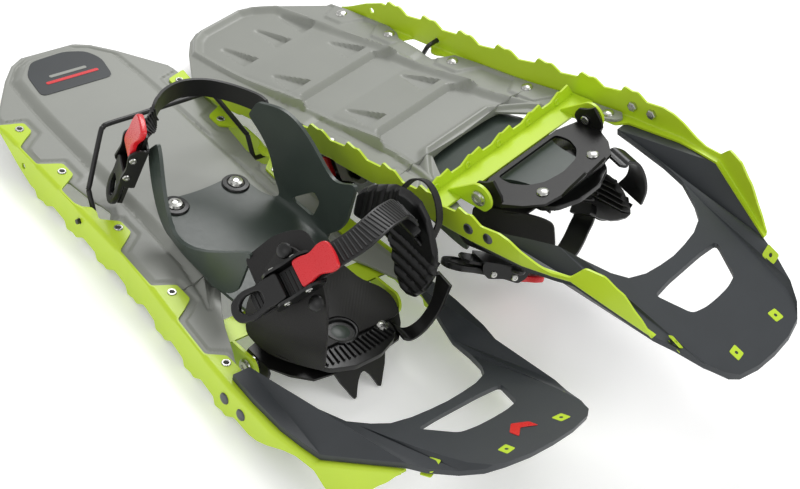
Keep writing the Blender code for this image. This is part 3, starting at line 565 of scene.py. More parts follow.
def join(item: bpy.types.Object, parts: Sequence[bpy.types.Object]) -> None:
    """Make one solid of an object and the parts that run into it.

    Args:
        item: the object.
        parts: the parts, which are removed afterwards.
    """
    for part in parts:
        step = item.modifiers.new("join", "BOOLEAN")
        step.operation, step.solver, step.object = "UNION", "EXACT", part
    plain_mesh(item)
    for part in parts:
        bpy.data.objects.remove(part)


def tidy_solid(mesh: bpy.types.Mesh, reach: float) -> None:
    """Merge the points of a mesh that lie together and point its faces outwards.

    Args:
        mesh: the mesh.
        reach: how near they lie.
    """
    work = bmesh.new()
    work.from_mesh(mesh)
    bmesh.ops.remove_doubles(work, verts=work.verts, dist=reach)
    bmesh.ops.recalc_face_normals(work, faces=work.faces)
    work.to_mesh(mesh)
    work.free()


def drop_loose_points(item: bpy.types.Object) -> None:
    """Remove the points that no face uses.

    Args:
        item: the object whose mesh is cleaned.
    """
    work = bmesh.new()
    work.from_mesh(item.data)
    bmesh.ops.delete(work, geom=[v for v in work.verts if not v.link_faces], context="VERTS")
    work.to_mesh(item.data)
    work.free()


def shade(item: bpy.types.Object, degrees: float = 32.0) -> None:
    """Smooth faces with sharp edges past an angle."""
    item.data.shade_smooth()
    item.data.set_sharp_from_angle(angle=math.radians(degrees))


# ---- One shoe ----------------------------------------------------------------------------------
class Frame:
    """A buckle's own axes: a along the strap, b across it, c away from the foot."""

    def __init__(self, origin: Point, along: Point, out: Point) -> None:
        """Set the axes from an origin, the strap's direction and the way out."""
        self.origin = Vector(origin)
        self.a = Vector(along).normalized()
        self.c = (Vector(out) - Vector(out).dot(self.a) * self.a).normalized()
        self.b = self.c.cross(self.a)

    def at(self, a: float, b: float, c: float) -> Vector:
        """Binding point of a buckle point."""
        return self.origin + a * self.a + b * self.b + c * self.c

    def prism(self, outline: Sequence[Pair], low: float, high: float) -> tuple[Points, Faces]:
        """Closed solid of an (a, c) outline swept across the buckle."""
        points, faces = prism(outline, low, high, along=Axis.Y)
        return [self.at(*p) for p in points], faces

    def slab(self, outline: Sequence[Pair], low: float, high: float) -> tuple[Points, Faces]:
        """Closed solid of an (a, b) outline between two heights off the foot."""
        points, faces = prism(outline, low, high)
        return [self.at(*p) for p in points], faces


@dataclass(frozen=True)
class Fit:
    """How one shoe's binding is done up: its buckles and the routes of its soft pieces."""

    toe: Frame
    heel: Frame
    over_foot: list[Point]         # toe strap past its buckle
    round_heel: list[Point]        # heel strap up to its buckle
    arm: list[Point]
    arm_width: float
    loop: list[Point]
    pad_foot: float                # height of the instep pad's foot
    pad_share: float               # how much of its height is left when it is laid down


@dataclass
class Shoe:
    """One shoe: its name, where it stands and which side its buckles are on."""

    name: str
    place: Matrix
    side: int
    fit: Fit
    made: list[bpy.types.Object] = field(default_factory=list)

    def across(self, points: Points) -> list[Point]:
        """Turn (x, v, z) points into (x, y, z), with v towards the buckle side."""
        return [(p[0], self.side * p[1], p[2]) for p in points]

    def world(self, p: Sequence[float]) -> Vector:
        """Row-frame point of a drawing point."""
        return self.place @ (Vector(p) * UNIT)

    def heading(self, way: Sequence[float]) -> Vector:
        """Row-frame direction of a drawing direction."""
        return (self.place.to_3x3() @ Vector(way)).normalized()

    def block(self, name: str, points: Points, faces: Faces, upward: bool = False) -> bpy.types.Object:
        """Mesh object from drawing points, closed solids pointing outwards.

        Args:
            name: object name after the shoe's own name.
            points: drawing points.
            faces: faces over the points.
            upward: for an open sheet, make its faces look along the shoe's z.

        Returns:
            The object, at the origin.
        """
        mesh = bpy.data.meshes.new(name)
        mesh.from_pydata([tuple(self.world(p)) for p in points], [], [tuple(f) for f in faces])
        tidy_solid(mesh, 0.02 * UNIT)
        if upward:
            up = self.heading((0, 0, 1))
            if sum(face.normal.dot(up) * face.area for face in mesh.polygons) < 0.0:
                mesh.flip_normals()
        return put_in(f"{self.name}_{name}", mesh)

    def finish(self, item: bpy.types.Object, look: Finish, body: str, nodes: Sequence[str] = (),
               wall: float = 0.0, offset: float = 0.0, cuts: Sequence[bpy.types.Object] = (),
               bevel: float = 0.0, smooth: int = 0, first: bool = False,
               angle: float = 32.0, even: bool = True) -> bpy.types.Object:
        """Give a piece its wall, cuts, rounded edges, material and body.

        Args:
            item: the piece.
            look: its finish.
            body: the body it rides on, without the shoe's name.
            nodes: the nodes it stands for, without the shoe's name.
            wall: thickness given to an open sheet.
            offset: where the wall goes, from -1 inside to 1 outside.
            cuts: solids taken away from it; they are removed afterwards.
            bevel: width of the rounded edges.
            smooth: levels of subdivision.
            first: subdivide the open sheet before its wall is added.
            angle: edges sharper than this stay crisp.
            even: keep the wall's thickness at its bends; off for a finely rippled sheet.

        Returns:
            The piece as a plain mesh.
        """
        if smooth and first:
            item.modifiers.new("smooth", "SUBSURF").levels = smooth
        if wall:
            step = item.modifiers.new("wall", "SOLIDIFY")
            step.thickness = wall * UNIT
            step.offset = offset
            step.use_even_offset = even
        for cutter in cuts:
            step = item.modifiers.new("cut", "BOOLEAN")
            step.operation = "DIFFERENCE"
            step.solver = "EXACT"
            step.object = cutter
        if bevel:
            step = item.modifiers.new("edge", "BEVEL")
            step.width = bevel * UNIT
            step.segments = 2
            step.limit_method = "ANGLE"
            step.angle_limit = math.radians(EDGE_ANGLE)
        if smooth and not first:
            item.modifiers.new("smooth", "SUBSURF").levels = smooth
        plain_mesh(item)
        for cutter in cuts:
            bpy.data.objects.remove(cutter)
        shade(item, angle)
        if bevel:
            step = item.modifiers.new("even", "WEIGHTED_NORMAL")
            step.keep_sharp = True
            step.weight = LARGE_FACE_WEIGHT
            plain_mesh(item)
        return self.hand_over(item, look, body, nodes)

    def hand_over(self, item: bpy.types.Object, look: Finish, body: str,
                  nodes: Sequence[str] = ()) -> bpy.types.Object:
        """Dress a plain mesh and let it ride.

        Args:
            item: the piece.
            look: its finish.
            body: the body it rides on, without the shoe's name.
            nodes: the nodes it stands for, without the shoe's name.

        Returns:
            The piece.
        """
        item.data.materials.clear()
        item.data.materials.append(look.build())
        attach(item, f"{self.name}_{body}")
        if nodes:
            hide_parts(*[f"{self.name}_{node}" for node in nodes])
        self.made.append(item)
        return item

    def marks(self, name: str, spots: Points, ups: Points, ways: Points, edges: bool = False
              ) -> bpy.types.Object:
        """Mesh of bare points, or of a path, with the stored directions that the trees read.

        Args:
            name: object name after the shoe's own name.
            spots: drawing points.
            ups: direction stored as up at each one.
            ways: direction stored as way at each one.
            edges: whether they are joined into a path.

        Returns:
            The object, at the origin.
        """
        mesh = bpy.data.meshes.new(name)
        links = [(k, k + 1) for k in range(len(spots) - 1)] if edges else []
        mesh.from_pydata([tuple(self.world(p)) for p in spots], links, [])
        for label, rows in (("up", ups), ("way", ways)):
            stored = mesh.attributes.new(label, "FLOAT_VECTOR", "POINT")
            stored.data.foreach_set("vector", [c for row in rows for c in self.heading(row)])
        return put_in(f"{self.name}_{name}", mesh)

    def grow(self, item: bpy.types.Object, tree: bpy.types.NodeTree, values: dict[str, object]) -> None:
        """Run a Geometry Nodes tree on an object, its inputs set by identifier, and keep the result.

        Args:
            item: the object.
            tree: the tree.
            values: input name to its value.
        """
        step = item.modifiers.new(tree.name, "NODES")
        step.node_group = tree
        named = {s.name: s.identifier for s in tree.interface.items_tree
                 if s.item_type == "SOCKET" and s.in_out == "INPUT"}
        for label, value in values.items():
            step[named[label]] = value
        plain_mesh(item)

    def fasteners(self, name: str, profile: Sequence[Pair], spots: Points, ups: Points, look: Finish,
                  body: str, nodes: Sequence[str] = (), sides: int = 20,
                  way: Point = (1.0, 0.0, 0.0)) -> bpy.types.Object:
        """Turned fasteners set at points.

        Args:
            name: piece name.
            profile: (radius, z) pairs of the turned head.
            spots: drawing points.
            ups: drawing direction of each one's axis.
            look: its finish.
            body: the body it rides on.
            nodes: the nodes it stands for.
            sides: facets of the turned head.
            way: the direction of its flats.

        Returns:
            The piece.
        """
        points, faces = turned(profile, sides)
        mesh = bpy.data.meshes.new("fastener")
        mesh.from_pydata([tuple(Vector(p) * UNIT) for p in points], [], faces)
        tidy_solid(mesh, 0.01 * UNIT)
        head = put_in("fastener", mesh)
        item = self.marks(name, spots, ups, [way] * len(spots))
        self.grow(item, fastener_tree(), {"Fastener": head, "Size": 1.0, "Finish": look.build()})
        bpy.data.objects.remove(head)
        shade(item)
        return self.hand_over(item, look, body, nodes)

    def ribs(self, name: str, path: Points, ups: Points, look: Finish, body: str, spacing: float,
             size: Point) -> bpy.types.Object:
        """Half-round ribs across a path.

        Args:
            name: piece name.
            path: drawing points that the ribs follow.
            ups: direction away from the surface at each one.
            look: their finish.
            body: the body they ride on.
            spacing: distance from rib to rib in drawing units.
            size: their length, width and height in drawing units.

        Returns:
            The piece.
        """
        item = self.marks(name, path, ups, ups, edges=True)
        self.grow(item, rib_tree(), {"Spacing": spacing * UNIT, "Length": size[0] * UNIT,
                                     "Width": size[1] * UNIT, "Height": size[2] * UNIT,
                                     "Finish": look.build()})
        shade(item, 50.0)
        return self.hand_over(item, look, body)


# Turned profiles as (radius, z) pairs.
DOME = [(0.0, -0.6), (4.6, -0.6), (5.0, 0.2), (4.4, 1.3), (2.8, 2.1), (0.0, 2.4)]
TUBE = [(0.0, -0.6), (3.1, -0.6), (3.4, 0.5), (3.0, 1.0), (2.2, 1.0), (1.9, 0.4), (1.8, 0.1), (0.0, 0.1)]
WASHER = [(0.0, 0.0), (10.6, 0.0), (11.0, 0.8), (10.2, 2.0), (7.2, 2.3), (6.4, 1.6), (0.0, 1.6)]
HEEL_HEAD = [(0.0, 0.0), (5.9, 0.0), (6.2, 1.0), (5.2, 2.6), (3.0, 3.3), (2.2, 2.7), (0.0, 2.6)]


# ---- Deck --------------------------------------------------------------------------------------
@dataclass
class Deck:
    """Moulded deck: flange with tab pockets, sloped rim, panel, ramped ribs and pockets underneath."""

    shoe: Shoe
    step: float = 1.45             # spacing of the stations along the deck
    columns: int = 60              # points from the middle to one edge
    opening_at: float = 312.0      # rear end of the toe opening
    rim_ease: float = 0.35         # how far the rim's corners are drawn in
    ramp: float = 8.0              # drop at each cross rib underneath
    rib_nose: float = 5.0          # length of a rib's steep side
    pocket_lift: float = 1.5       # flange height around the tabs' pockets
    slope_run: float = 7.6         # width of the sloped rim
    floor_drop: float = 2.8        # how far the panel's underside stands down from its sheet
    wire_at: float = BAIL_PIVOT[0] - 18.0    # where the folded heel wire crosses the flange
    outer: tuple[Pair, ...] = (
        (17, 24), (24, 37), (40, 52), (80, 82), (100, 83.5), (150, 84), (163, 80), (171, 74), (191, 71.5),
        (216, 67.5), (222, 72), (229, 82), (250, 84), (300, 86.5), (345, 92), (398, 96), (403, 90))
    inner: tuple[Pair, ...] = ((312, 37), (330, 49), (347, 60), (360, 67), (388, 79), (400, 84), (403, 89))
    foot: tuple[Pair, ...] = (
        (21, 0), (21, 22), (27, 34), (44, 49), (78, 52), (100, 53), (163, 53.4), (216, 53.8), (250, 54),
        (290, 56), (325, 62), (338, 66), (339, 64), (330, 58.5), (318, 47), (307, 36), (307, 0))
    ribs: tuple[float, ...] = (170.0, 257.0)
    # Pockets underneath as (tail end, nose end, middle, half width at the tail, half width at the nose).
    wedges: tuple[tuple[float, ...], ...] = (
        (54, 92, 27, 2.5, 8.5), (54, 92, -12, 2.5, 8.5), (54, 92, -42, 2.5, 8.5),
        (124, 160, 32, 1.5, 11.5), (124, 160, -34, 1.5, 11.5),
        (211, 247, 31, 1.5, 11.5), (211, 247, -34, 1.5, 11.5))

    def distance(self, loop: Sequence[Pair], x: np.ndarray, y: np.ndarray) -> np.ndarray:
        """Signed distance to a mirrored loop.

        Args:
            loop: the loop's left half.
            x: drawing x of each point.
            y: drawing y of each point.

        Returns:
            The distances, positive inside.
        """
        corners = np.array(mirrored(loop))
        best = np.full(x.shape, 1e9)
        inside = np.zeros(x.shape, bool)
        for (ax, ay), (bx, by) in zip(corners, np.roll(corners, -1, 0)):
            dx, dy = bx - ax, by - ay
            t = np.clip(((x - ax) * dx + (y - ay) * dy) / max(dx * dx + dy * dy, 1e-9), 0, 1)
            best = np.minimum(best, np.hypot(x - ax - t * dx, y - ay - t * dy))
            crosses = (ay > y) != (by > y)
            inside ^= crosses & (x < ax + (y - ay) * dx / (dy if abs(dy) > 1e-9 else 1e-9))
        return np.where(inside, best, -best)

    def heights(self, x: np.ndarray, y: np.ndarray) -> tuple[np.ndarray, np.ndarray]:
        """Top and bottom of the sheet.

        Args:
            x: drawing x of each point.
            y: drawing y of each point.

        Returns:
            The height of the top and that of the underside.
        """
        to_foot = self.distance(self.foot, x, y)
        t = np.clip(to_foot / self.slope_run, 0, 1)
        rise = t * t * (3 - 2 * t) * 0.4 + t * 0.6
        edge = np.array([min(read_at(Rail.TAB_EDGE, x0 + k) for k in (-4, -2, 0, 2, 4)) for x0 in x])
        away = np.clip((edge - 4.0 - np.abs(y)) / 1.8, 0, 1)
        lift = self.pocket_lift * away * (1 - t) * np.clip(-to_foot / 2.0, 0, 1)
        # The flange stays low where the folded heel wire passes over it.
        lift *= np.clip(np.abs(x - self.wire_at) / 6.0 - 2.0, 0, 1)
        top = DECK_TOP + lift + (PANEL_TOP - DECK_TOP) * rise
        ends = np.clip((np.abs(y) - 42.0) / 18.0, 0, 1.6)
        ramp = np.zeros(x.shape)
        last = 60.0
        for at in self.ribs:
            s = x - at - 26.0 * ends
            up = np.clip((s + (at - last)) / (at - last), 0, 1)
            ramp = np.maximum(ramp, self.ramp * up * np.clip(1 - s / self.rib_nose, 0, 1))
            last = at + 10.0
        ramp = np.maximum(ramp, self.floor_drop)
        under = top - DECK_SHEET - ramp * np.clip(to_foot / 4.0 + 0.6, 0, 1)
        for start, end, middle, narrow, wide in self.wedges:
            along = np.clip((x - start) / (end - start), 0, 1)
            half = narrow + (wide - narrow) * along
            inside = np.clip((half - np.abs(y - middle)) / 1.6, 0, 1)
            inside *= np.clip((x - start) / 2.0, 0, 1) * np.clip((end - x) / 1.8, 0, 1)
            under = under + (1.2 + 4.2 * along) * inside
        return top, np.minimum(under, top - 1.1)

    def build(self) -> None:
        """Build the deck, its label and its rivets."""
        stations = sorted({round(x, 2) for x in [*np.arange(self.outer[0][0], self.outer[-1][0], self.step),
                                                 *[p[0] for p in self.outer], self.opening_at]})
        stations = [x for k, x in enumerate(stations) if k == 0 or x - stations[k - 1] > 0.5]
        rows: list[list[Pair]] = []
        shares = np.linspace(0, 1, self.columns)
        for x in stations:
            out = read_at(self.outer, x)
            start = 0.0 if x <= self.opening_at else read_at(self.inner, x)
            rows.append([(x, start + (out - start) * share) for share in shares])
        flat: list[Pair] = []
        faces: list[tuple[int, ...]] = []
        for way in (1, -1):
            base = len(flat)
            flat += [(x, way * y) for row in rows for x, y in row]
            faces += grid_faces(len(rows), len(shares), base)
        array = np.array(flat)
        top, under = self.heights(array[:, 0], array[:, 1])
        count = len(flat)
        # Behind the toe opening both halves share the points on the middle line.
        shared = {count // 2 + r * self.columns: r * self.columns for r, x in enumerate(stations)
                  if x <= self.opening_at}
        faces = [tuple(shared.get(k, k) for k in face) for face in faces]
        edges: dict[tuple[int, int], int] = {}
        for face in faces:
            for a, b in zip(face, (*face[1:], face[0])):
                key = (min(a, b), max(a, b))
                edges[key] = edges.get(key, 0) + 1
        rim = {k for key, uses in edges.items() if uses == 1 for k in key}
        ease = [self.rim_ease if k in rim else 0.0 for k in range(count)]
        points = [(x, y, z - e) for (x, y), z, e in zip(flat, top, ease)]
        points += [(x, y, z + e) for (x, y), z, e in zip(flat, under, ease)]
        solid = faces + [tuple(reversed([k + count for k in face])) for face in faces]
        solid += [(a, b, b + count, a + count) for (a, b), uses in edges.items() if uses == 1]
        item = self.shoe.block("deck", points, solid)
        drop_loose_points(item)
        self.shoe.finish(item, DECK, "shoe", ["deck"], angle=38.0)
        self.label()
        self.rivets()

    def label(self) -> None:
        """Plain label with two raised bars, on the tail of the panel."""
        shape = rounded([(31, -24), (29, 8), (36, 25), (50, 31), (75, 26), (75, -40), (46, -36)], 6.0)
        level = PANEL_TOP + 0.05
        self.shoe.finish(self.shoe.block("tail_label", *prism(shape, level, level + 0.5)), LABEL, "shoe",
                         bevel=0.15)
        for k, (x, span) in enumerate(((62, 24), (55, 17))):
            bar = rounded([(x - 1.6, -span - 4), (x + 1.6, -span - 4), (x + 1.6, span - 4),
                           (x - 1.6, span - 4)], 1.5)
            self.shoe.finish(self.shoe.block(f"label_bar_{k}", *prism(bar, level + 0.45, level + 0.75)),
                             (RED, DECK)[k], "shoe")

    def rivets(self) -> None:
        """Tube rivets through the rail tabs and domed heads underneath."""
        spots = [(x, way * y, 0.0) for x, y in TAB_RIVETS for way in (1, -1)]
        # Painted shade: dark discs in the tube rivets' hollows stand for the shadow inside them.
        self.shoe.fasteners("tab_rivet_hollows", [(0.0, 0.0), (2.0, 0.0), (2.0, 0.45), (0.0, 0.45)], spots,
                            [(0, 0, 1)] * len(spots), HOLLOW_SHADE, "shoe")
        self.shoe.fasteners("tab_rivets", TUBE, spots, [(0, 0, 1)] * len(spots), ZINC, "shoe")
        under = [(x, y, DECK_TOP - DECK_SHEET) for x, y, _ in spots]
        self.shoe.fasteners("deck_rivets", DOME, under, [(0, 0, -1)] * len(under), ZINC, "shoe")


# ---- Side rails --------------------------------------------------------------------------------
@dataclass
class Rail:
    """Bent steel side rail: tabbed flange on top of the deck, toothed blade below."""

    shoe: Shoe
    fold_radius: float = 3.6
    step: float = 1.7              # spacing of the stations along the rail
    start: float = 89.0
    end: float = 552.0
    tooth_pitch: float = 41.5

    FOLD_Y = [(89, 87), (260, 87.5), (300, 90), (340, 94.5), (383, 98.5), (407, 100), (456, 100),
              (475, 97), (495, 93), (520, 85), (552, 74)]
    FOLD_Z = [(89, 0), (495, 0), (552, 35)]
    TAB_EDGE = [(89, 85.2), (94, 67.5), (106, 67.5), (113, 78), (119, 85.4),
                (143, 85.4), (151, 68), (166, 68), (172, 77), (177, 85.6),
                (195, 85.6), (203, 82), (204, 77.3), (212, 76.8), (219, 80), (224, 74),
                (229, 67.5), (243, 67.5), (250, 77), (256, 85.8),
                (299, 87.8), (307, 71.5), (324, 71.5), (332, 83), (337, 91.5),
                (375, 95.2), (384, 83), (401, 82.5), (408, 90), (456, 93),
                (475, 90.5), (495, 87), (520, 79), (552, 69)]
    WAVE = [(0.0, -22.5), (1.5, -RAIL_DEPTH), (11.0, -25.6), (15.0, -27.2), (24.0, -20.6)]
    TAIL = [(89, -2), (99, -6), (120, -16), (140, -23)]
    FRONT = [(437, -22), (446, -20), (470, -8), (480, -5), (496, -6), (507, -17), (521, -13),
             (529, -4), (534, 0), (541, 13), (546, 20), (552, 33)]

    def edge(self) -> list[Pair]:
        """Lower edge of the rail: tail ramp, saw teeth, then the stepped nose end."""
        teeth = [(147.0 + k * self.tooth_pitch + dx, z) for k in range(7) for dx, z in self.WAVE]
        return self.TAIL + teeth + self.FRONT

    def build(self) -> None:
        """Build both rails, with their holes and bolts."""
        edge = self.edge()
        xs = sorted({round(float(x), 2) for x in [*np.arange(self.start, self.end, self.step), self.end,
                                                   *[p[0] for p in self.TAB_EDGE], *[p[0] for p in edge]]})
        xs = [x for k, x in enumerate(xs) if k == 0 or x - xs[k - 1] > 0.45]
        for node, way in (("rail_outer", 1), ("rail_inner", -1)):
            points: list[Point] = []
            for x in xs:
                fold, level = read_at(self.FOLD_Y, x), read_at(self.FOLD_Z, x)
                tab = self.softened(self.TAB_EDGE, x)
                low = self.softened(edge, x)
                r = min(self.fold_radius, max(0.6, (fold - tab) * 0.6), max(0.6, (level - low) * 0.6))
                row = [(x, tab, level), (x, (tab + fold - r) / 2, level)]
                for k in range(5):
                    a = math.pi / 2 * (1 - k / 4)
                    row.append((x, fold - r + r * math.cos(a), level - r + r * math.sin(a)))
                top = level - r
                row += [(x, fold + 0.25, (top + low) / 2), (x, fold + 0.5, low)]
                points += [(px, way * py, pz) for px, py, pz in row]
            sheet = self.shoe.block(node, self.shoe.across(points), grid_faces(len(xs), 9), upward=True)
            cuts = [self.bore(BAIL_PIVOT[0], BAIL_PIVOT[2], 2.5), self.bore(128, -12.0, 2.6)]
            self.shoe.finish(sheet, LIME, "shoe", [node], wall=STEEL, offset=-1.0, cuts=cuts, bevel=0.35)
        self.bolts()

    def softened(self, line: Sequence[Pair], x: float) -> float:
        """Polyline value with its corners eased over a short run."""
        return sum(read_at(line, min(self.end, max(self.start, x + k))) for k in (-1.2, 0.0, 1.2)) / 3.0

    def bore(self, x: float, z: float, radius: float) -> bpy.types.Object:
        """Round cutter that reaches across both rails."""
        return self.shoe.block("bore", *prism(disc(x, z, radius, 16), -112, 112, along=Axis.Y))

    def bolts(self) -> None:
        """Side bolts that hold the nose arms to the blades."""
        spots, ups = [], []
        for x, z in ((407.4, -13.0), (426.1, -12.6)):
            for way in (1, -1):
                spots.append((x, way * (read_at(self.FOLD_Y, x) + 0.2), z))
                ups.append((0, way, 0))
        self.shoe.fasteners("side_bolts", [(r * 0.9, z * 0.8) for r, z in DOME], spots, ups, GUNMETAL, "shoe")
        inside = [(x, y - math.copysign(STEEL + 0.3, y), z) for x, y, z in spots]
        nut = [(0.0, -0.2), (4.4, -0.2), (4.4, 2.2), (3.6, 2.8), (2.0, 2.8), (2.0, 3.6), (0.0, 3.6)]
        self.shoe.fasteners("side_nuts", nut, inside, [(0, -u[1], 0) for u in ups], ZINC, "shoe", sides=6)


# ---- Nose --------------------------------------------------------------------------------------
@dataclass
class Nose:
    """Moulded nose: two arms on the rails, a turned-up web with its window, sloped outer facets."""

    shoe: Shoe
    sheet: float = 5.0
    # Each chip's x, y, half length, half width, height (None on the web), slope along and slope across.
    places: tuple[tuple[float | None, ...], ...] = (
        (564.2, 60.8, 5.5, 3.6, 45.2, 0.62, -1.0), (592.5, 25.6, 4.6, 4.2, None, 0.5, 0.0))
    RIDGE = [(482, 60.5), (500, 58.5), (520, 58), (552, 56.5), (566, 55), (585, 52), (599, 45)]
    EDGE = [(405, 94), (430, 95.5), (461, 95), (480, 92), (495, 88.5), (520, 80.5), (552, 70),
            (566, 65), (585, 57), (597, 48)]
    EDGE_Z = [(405, 5.35), (495, 5.45), (520, 20.9), (552, 40.6), (566, 46), (585, 57), (597, 65)]
    OPENING = [(405, 80), (420, 76.5), (440, 70), (461, 64), (482, 60.5), (500, 52), (510, 44),
               (515, 30), (517, 15), (518, 0)]
    FRONT = [(604, 38), (608, 20), (609, 0)]
    WINDOW = [(528, 0), (528, 20), (529.5, 39), (541, 33.5), (554.5, 27), (557.5, 14), (558, 0)]

    def height(self, x: float) -> float:
        """Top of the nose at x: level on the rails, then turned up."""
        return max(self.sheet + GAP, 0.5 * (x - 461.0))

    def build(self) -> None:
        """Build the nose with its window, chips and badge."""
        web = mirrored([(518, 0), *reversed(self.OPENING[4:-1]), *self.RIDGE[1:], *self.FRONT])
        window = rounded(mirrored(self.WINDOW), 4.0)
        points = [(x, y, self.height(x)) for x, y in [*web, *window]]
        faces = flat_faces(web, [window])
        for way in (1, -1):
            start = len(points)
            arm = list(self.EDGE) + list(reversed(self.OPENING[:4] + self.RIDGE))
            levels = [read_at(self.EDGE_Z, x) for x, _ in self.EDGE]
            levels += [self.height(x) for x, _ in arm[len(self.EDGE):]]
            points += [(x, way * y, z) for (x, y), z in zip(arm, levels)]
            faces += [tuple(start + k for k in face) for face in flat_faces(arm)]
            tip = len(points)
            points += [(597, way * 48, 65), (599, way * 45, self.height(599)), (604, way * 38, self.height(604))]
            faces.append((tip, tip + 1, tip + 2))
        item = self.shoe.block("nose", *welded(points, faces, self.sheet))
        self.shoe.finish(item, NOSE, "shoe", ["nose"], bevel=1.1, angle=28.0)
        self.chips()
        self.badge()

    def chips(self) -> None:
        """Steel chips that show through both faces of the nose."""
        shoe = self.shoe
        for k, (x, y, along, wide, level, tilt, slope) in enumerate(self.places):
            level = self.height(x) if level is None else level
            shape = rounded([(-along, -wide), (along * 0.8, -wide), (along, wide), (-along * 0.8, wide)], 1.2)
            for way in (1, -1):
                for face, (low, high) in enumerate(((-0.6, 0.25), (-self.sheet - 0.35, -self.sheet + 0.6))):
                    points, faces = prism(shape, low, high)
                    moved = [(x + a, way * (y + b), level + tilt * a + slope * b + c) for a, b, c in points]
                    hole, around = prism(disc(0, 0, 1.3, 12), low - 2, high + 2)
                    cut = [(x + a, way * (y + b), level + tilt * a + slope * b + c) for a, b, c in hole]
                    name = f"nose_chip_{k}{'lr'[way < 0]}{'tb'[face]}"
                    shoe.finish(shoe.block(name, moved, faces), LIME, "shoe",
                                cuts=[shoe.block("hole", cut, around)], bevel=0.15)

    def badge(self) -> None:
        """Raised plain badge in the middle of the web."""
        chevron = [(573, 0), (580, -9), (588, -9), (581, 0), (588, 9), (580, 9)]
        points, faces = prism(rounded(chevron, 1.0), 0.05, 0.6)
        item = self.shoe.block("nose_badge", [(x, y, self.height(x) + z) for x, y, z in points], faces)
        self.shoe.finish(item, RED, "shoe", bevel=0.12)


# ---- Crossbar and pivots -----------------------------------------------------------------------
@dataclass
class Crossbar:
    """Toothed steel angle under the deck arms, with an ear and a pin at each side of the binding."""

    shoe: Shoe
    top: float = DECK_TOP - DECK_SHEET - GAP
    back: float = 349.8            # rear face of the toothed web
    span: float = 92.5             # half the bar's length
    ear_radius: float = 11.5

    def build(self) -> None:
        """Build the bar, its ears, pins and embossed rings."""
        shoe, top = self.shoe, self.top
        teeth: list[Pair] = [(-self.span, top - 0.4)]
        for start in (-88.0, -52.0, -16.0, 20.0, 56.0):
            teeth += [(start + a, top - d) for a, d in ((0, 8.0), (3, 13.5), (12, 11.5), (15, 12.8), (25, 8.0))]
        teeth.append((self.span, top - 0.4))
        bar = shoe.block("crossbar", *prism(teeth, self.back, self.back + STEEL, along=Axis.X))
        flange = [(350, top), (371, top), (371, top - STEEL), (350, top - STEEL)]
        parts = [shoe.block("flange", *prism(flange, -self.span, self.span, along=Axis.Y))]
        x, z = PIVOT[0], PIVOT[2]
        arc = [math.radians(-130 + 10 * k) for k in range(21)]
        ear = [(361, top - 1.0), (358, top - 2.5)]
        ear += [(x + self.ear_radius * math.cos(a), z + self.ear_radius * math.sin(a)) for a in arc]
        for way in (1, -1):
            low, high = sorted((way * 66.0, way * 68.5))
            parts.append(shoe.block("ear", *prism(ear, low, high, along=Axis.Y)))
        join(bar, parts)
        bore = shoe.block("bore", *prism(disc(x, z, 4.3, 20), -80, 80, along=Axis.Y))
        shoe.finish(bar, LIME, "shoe", ["crossbar"], cuts=[bore], bevel=0.3)
        rings = [(self.back + STEEL, y, top - 5.2) for y in (-70, -34, 2, 38, 74)]
        ring = [(0.0, -0.4), (3.4, -0.4), (3.4, 0.3), (2.8, 0.8), (2.0, 0.8), (1.6, 0.1), (0.0, 0.1)]
        shoe.fasteners("bar_rings", ring, rings, [(1, 0, 0)] * len(rings), LIME, "shoe", way=(0, 1, 0))
        for node, way in (("pivot_pin_outer", 1), ("pivot_pin_inner", -1)):
            profile = [(0.0, 57.4), (3.2, 57.4), (3.9, 57.9), (3.9, 61.7), (6.2, 61.8), (6.2, 65.6),
                       (3.9, 65.7), (3.9, 68.9), (6.5, 69.0), (6.3, 70.2), (5.0, 71.3), (2.4, 71.5),
                       (2.0, 70.6), (0.0, 70.6)]
            shoe.fasteners(node, profile, [PIVOT], [(0, way * shoe.side, 0)], ZINC, "shoe", [node], sides=28)


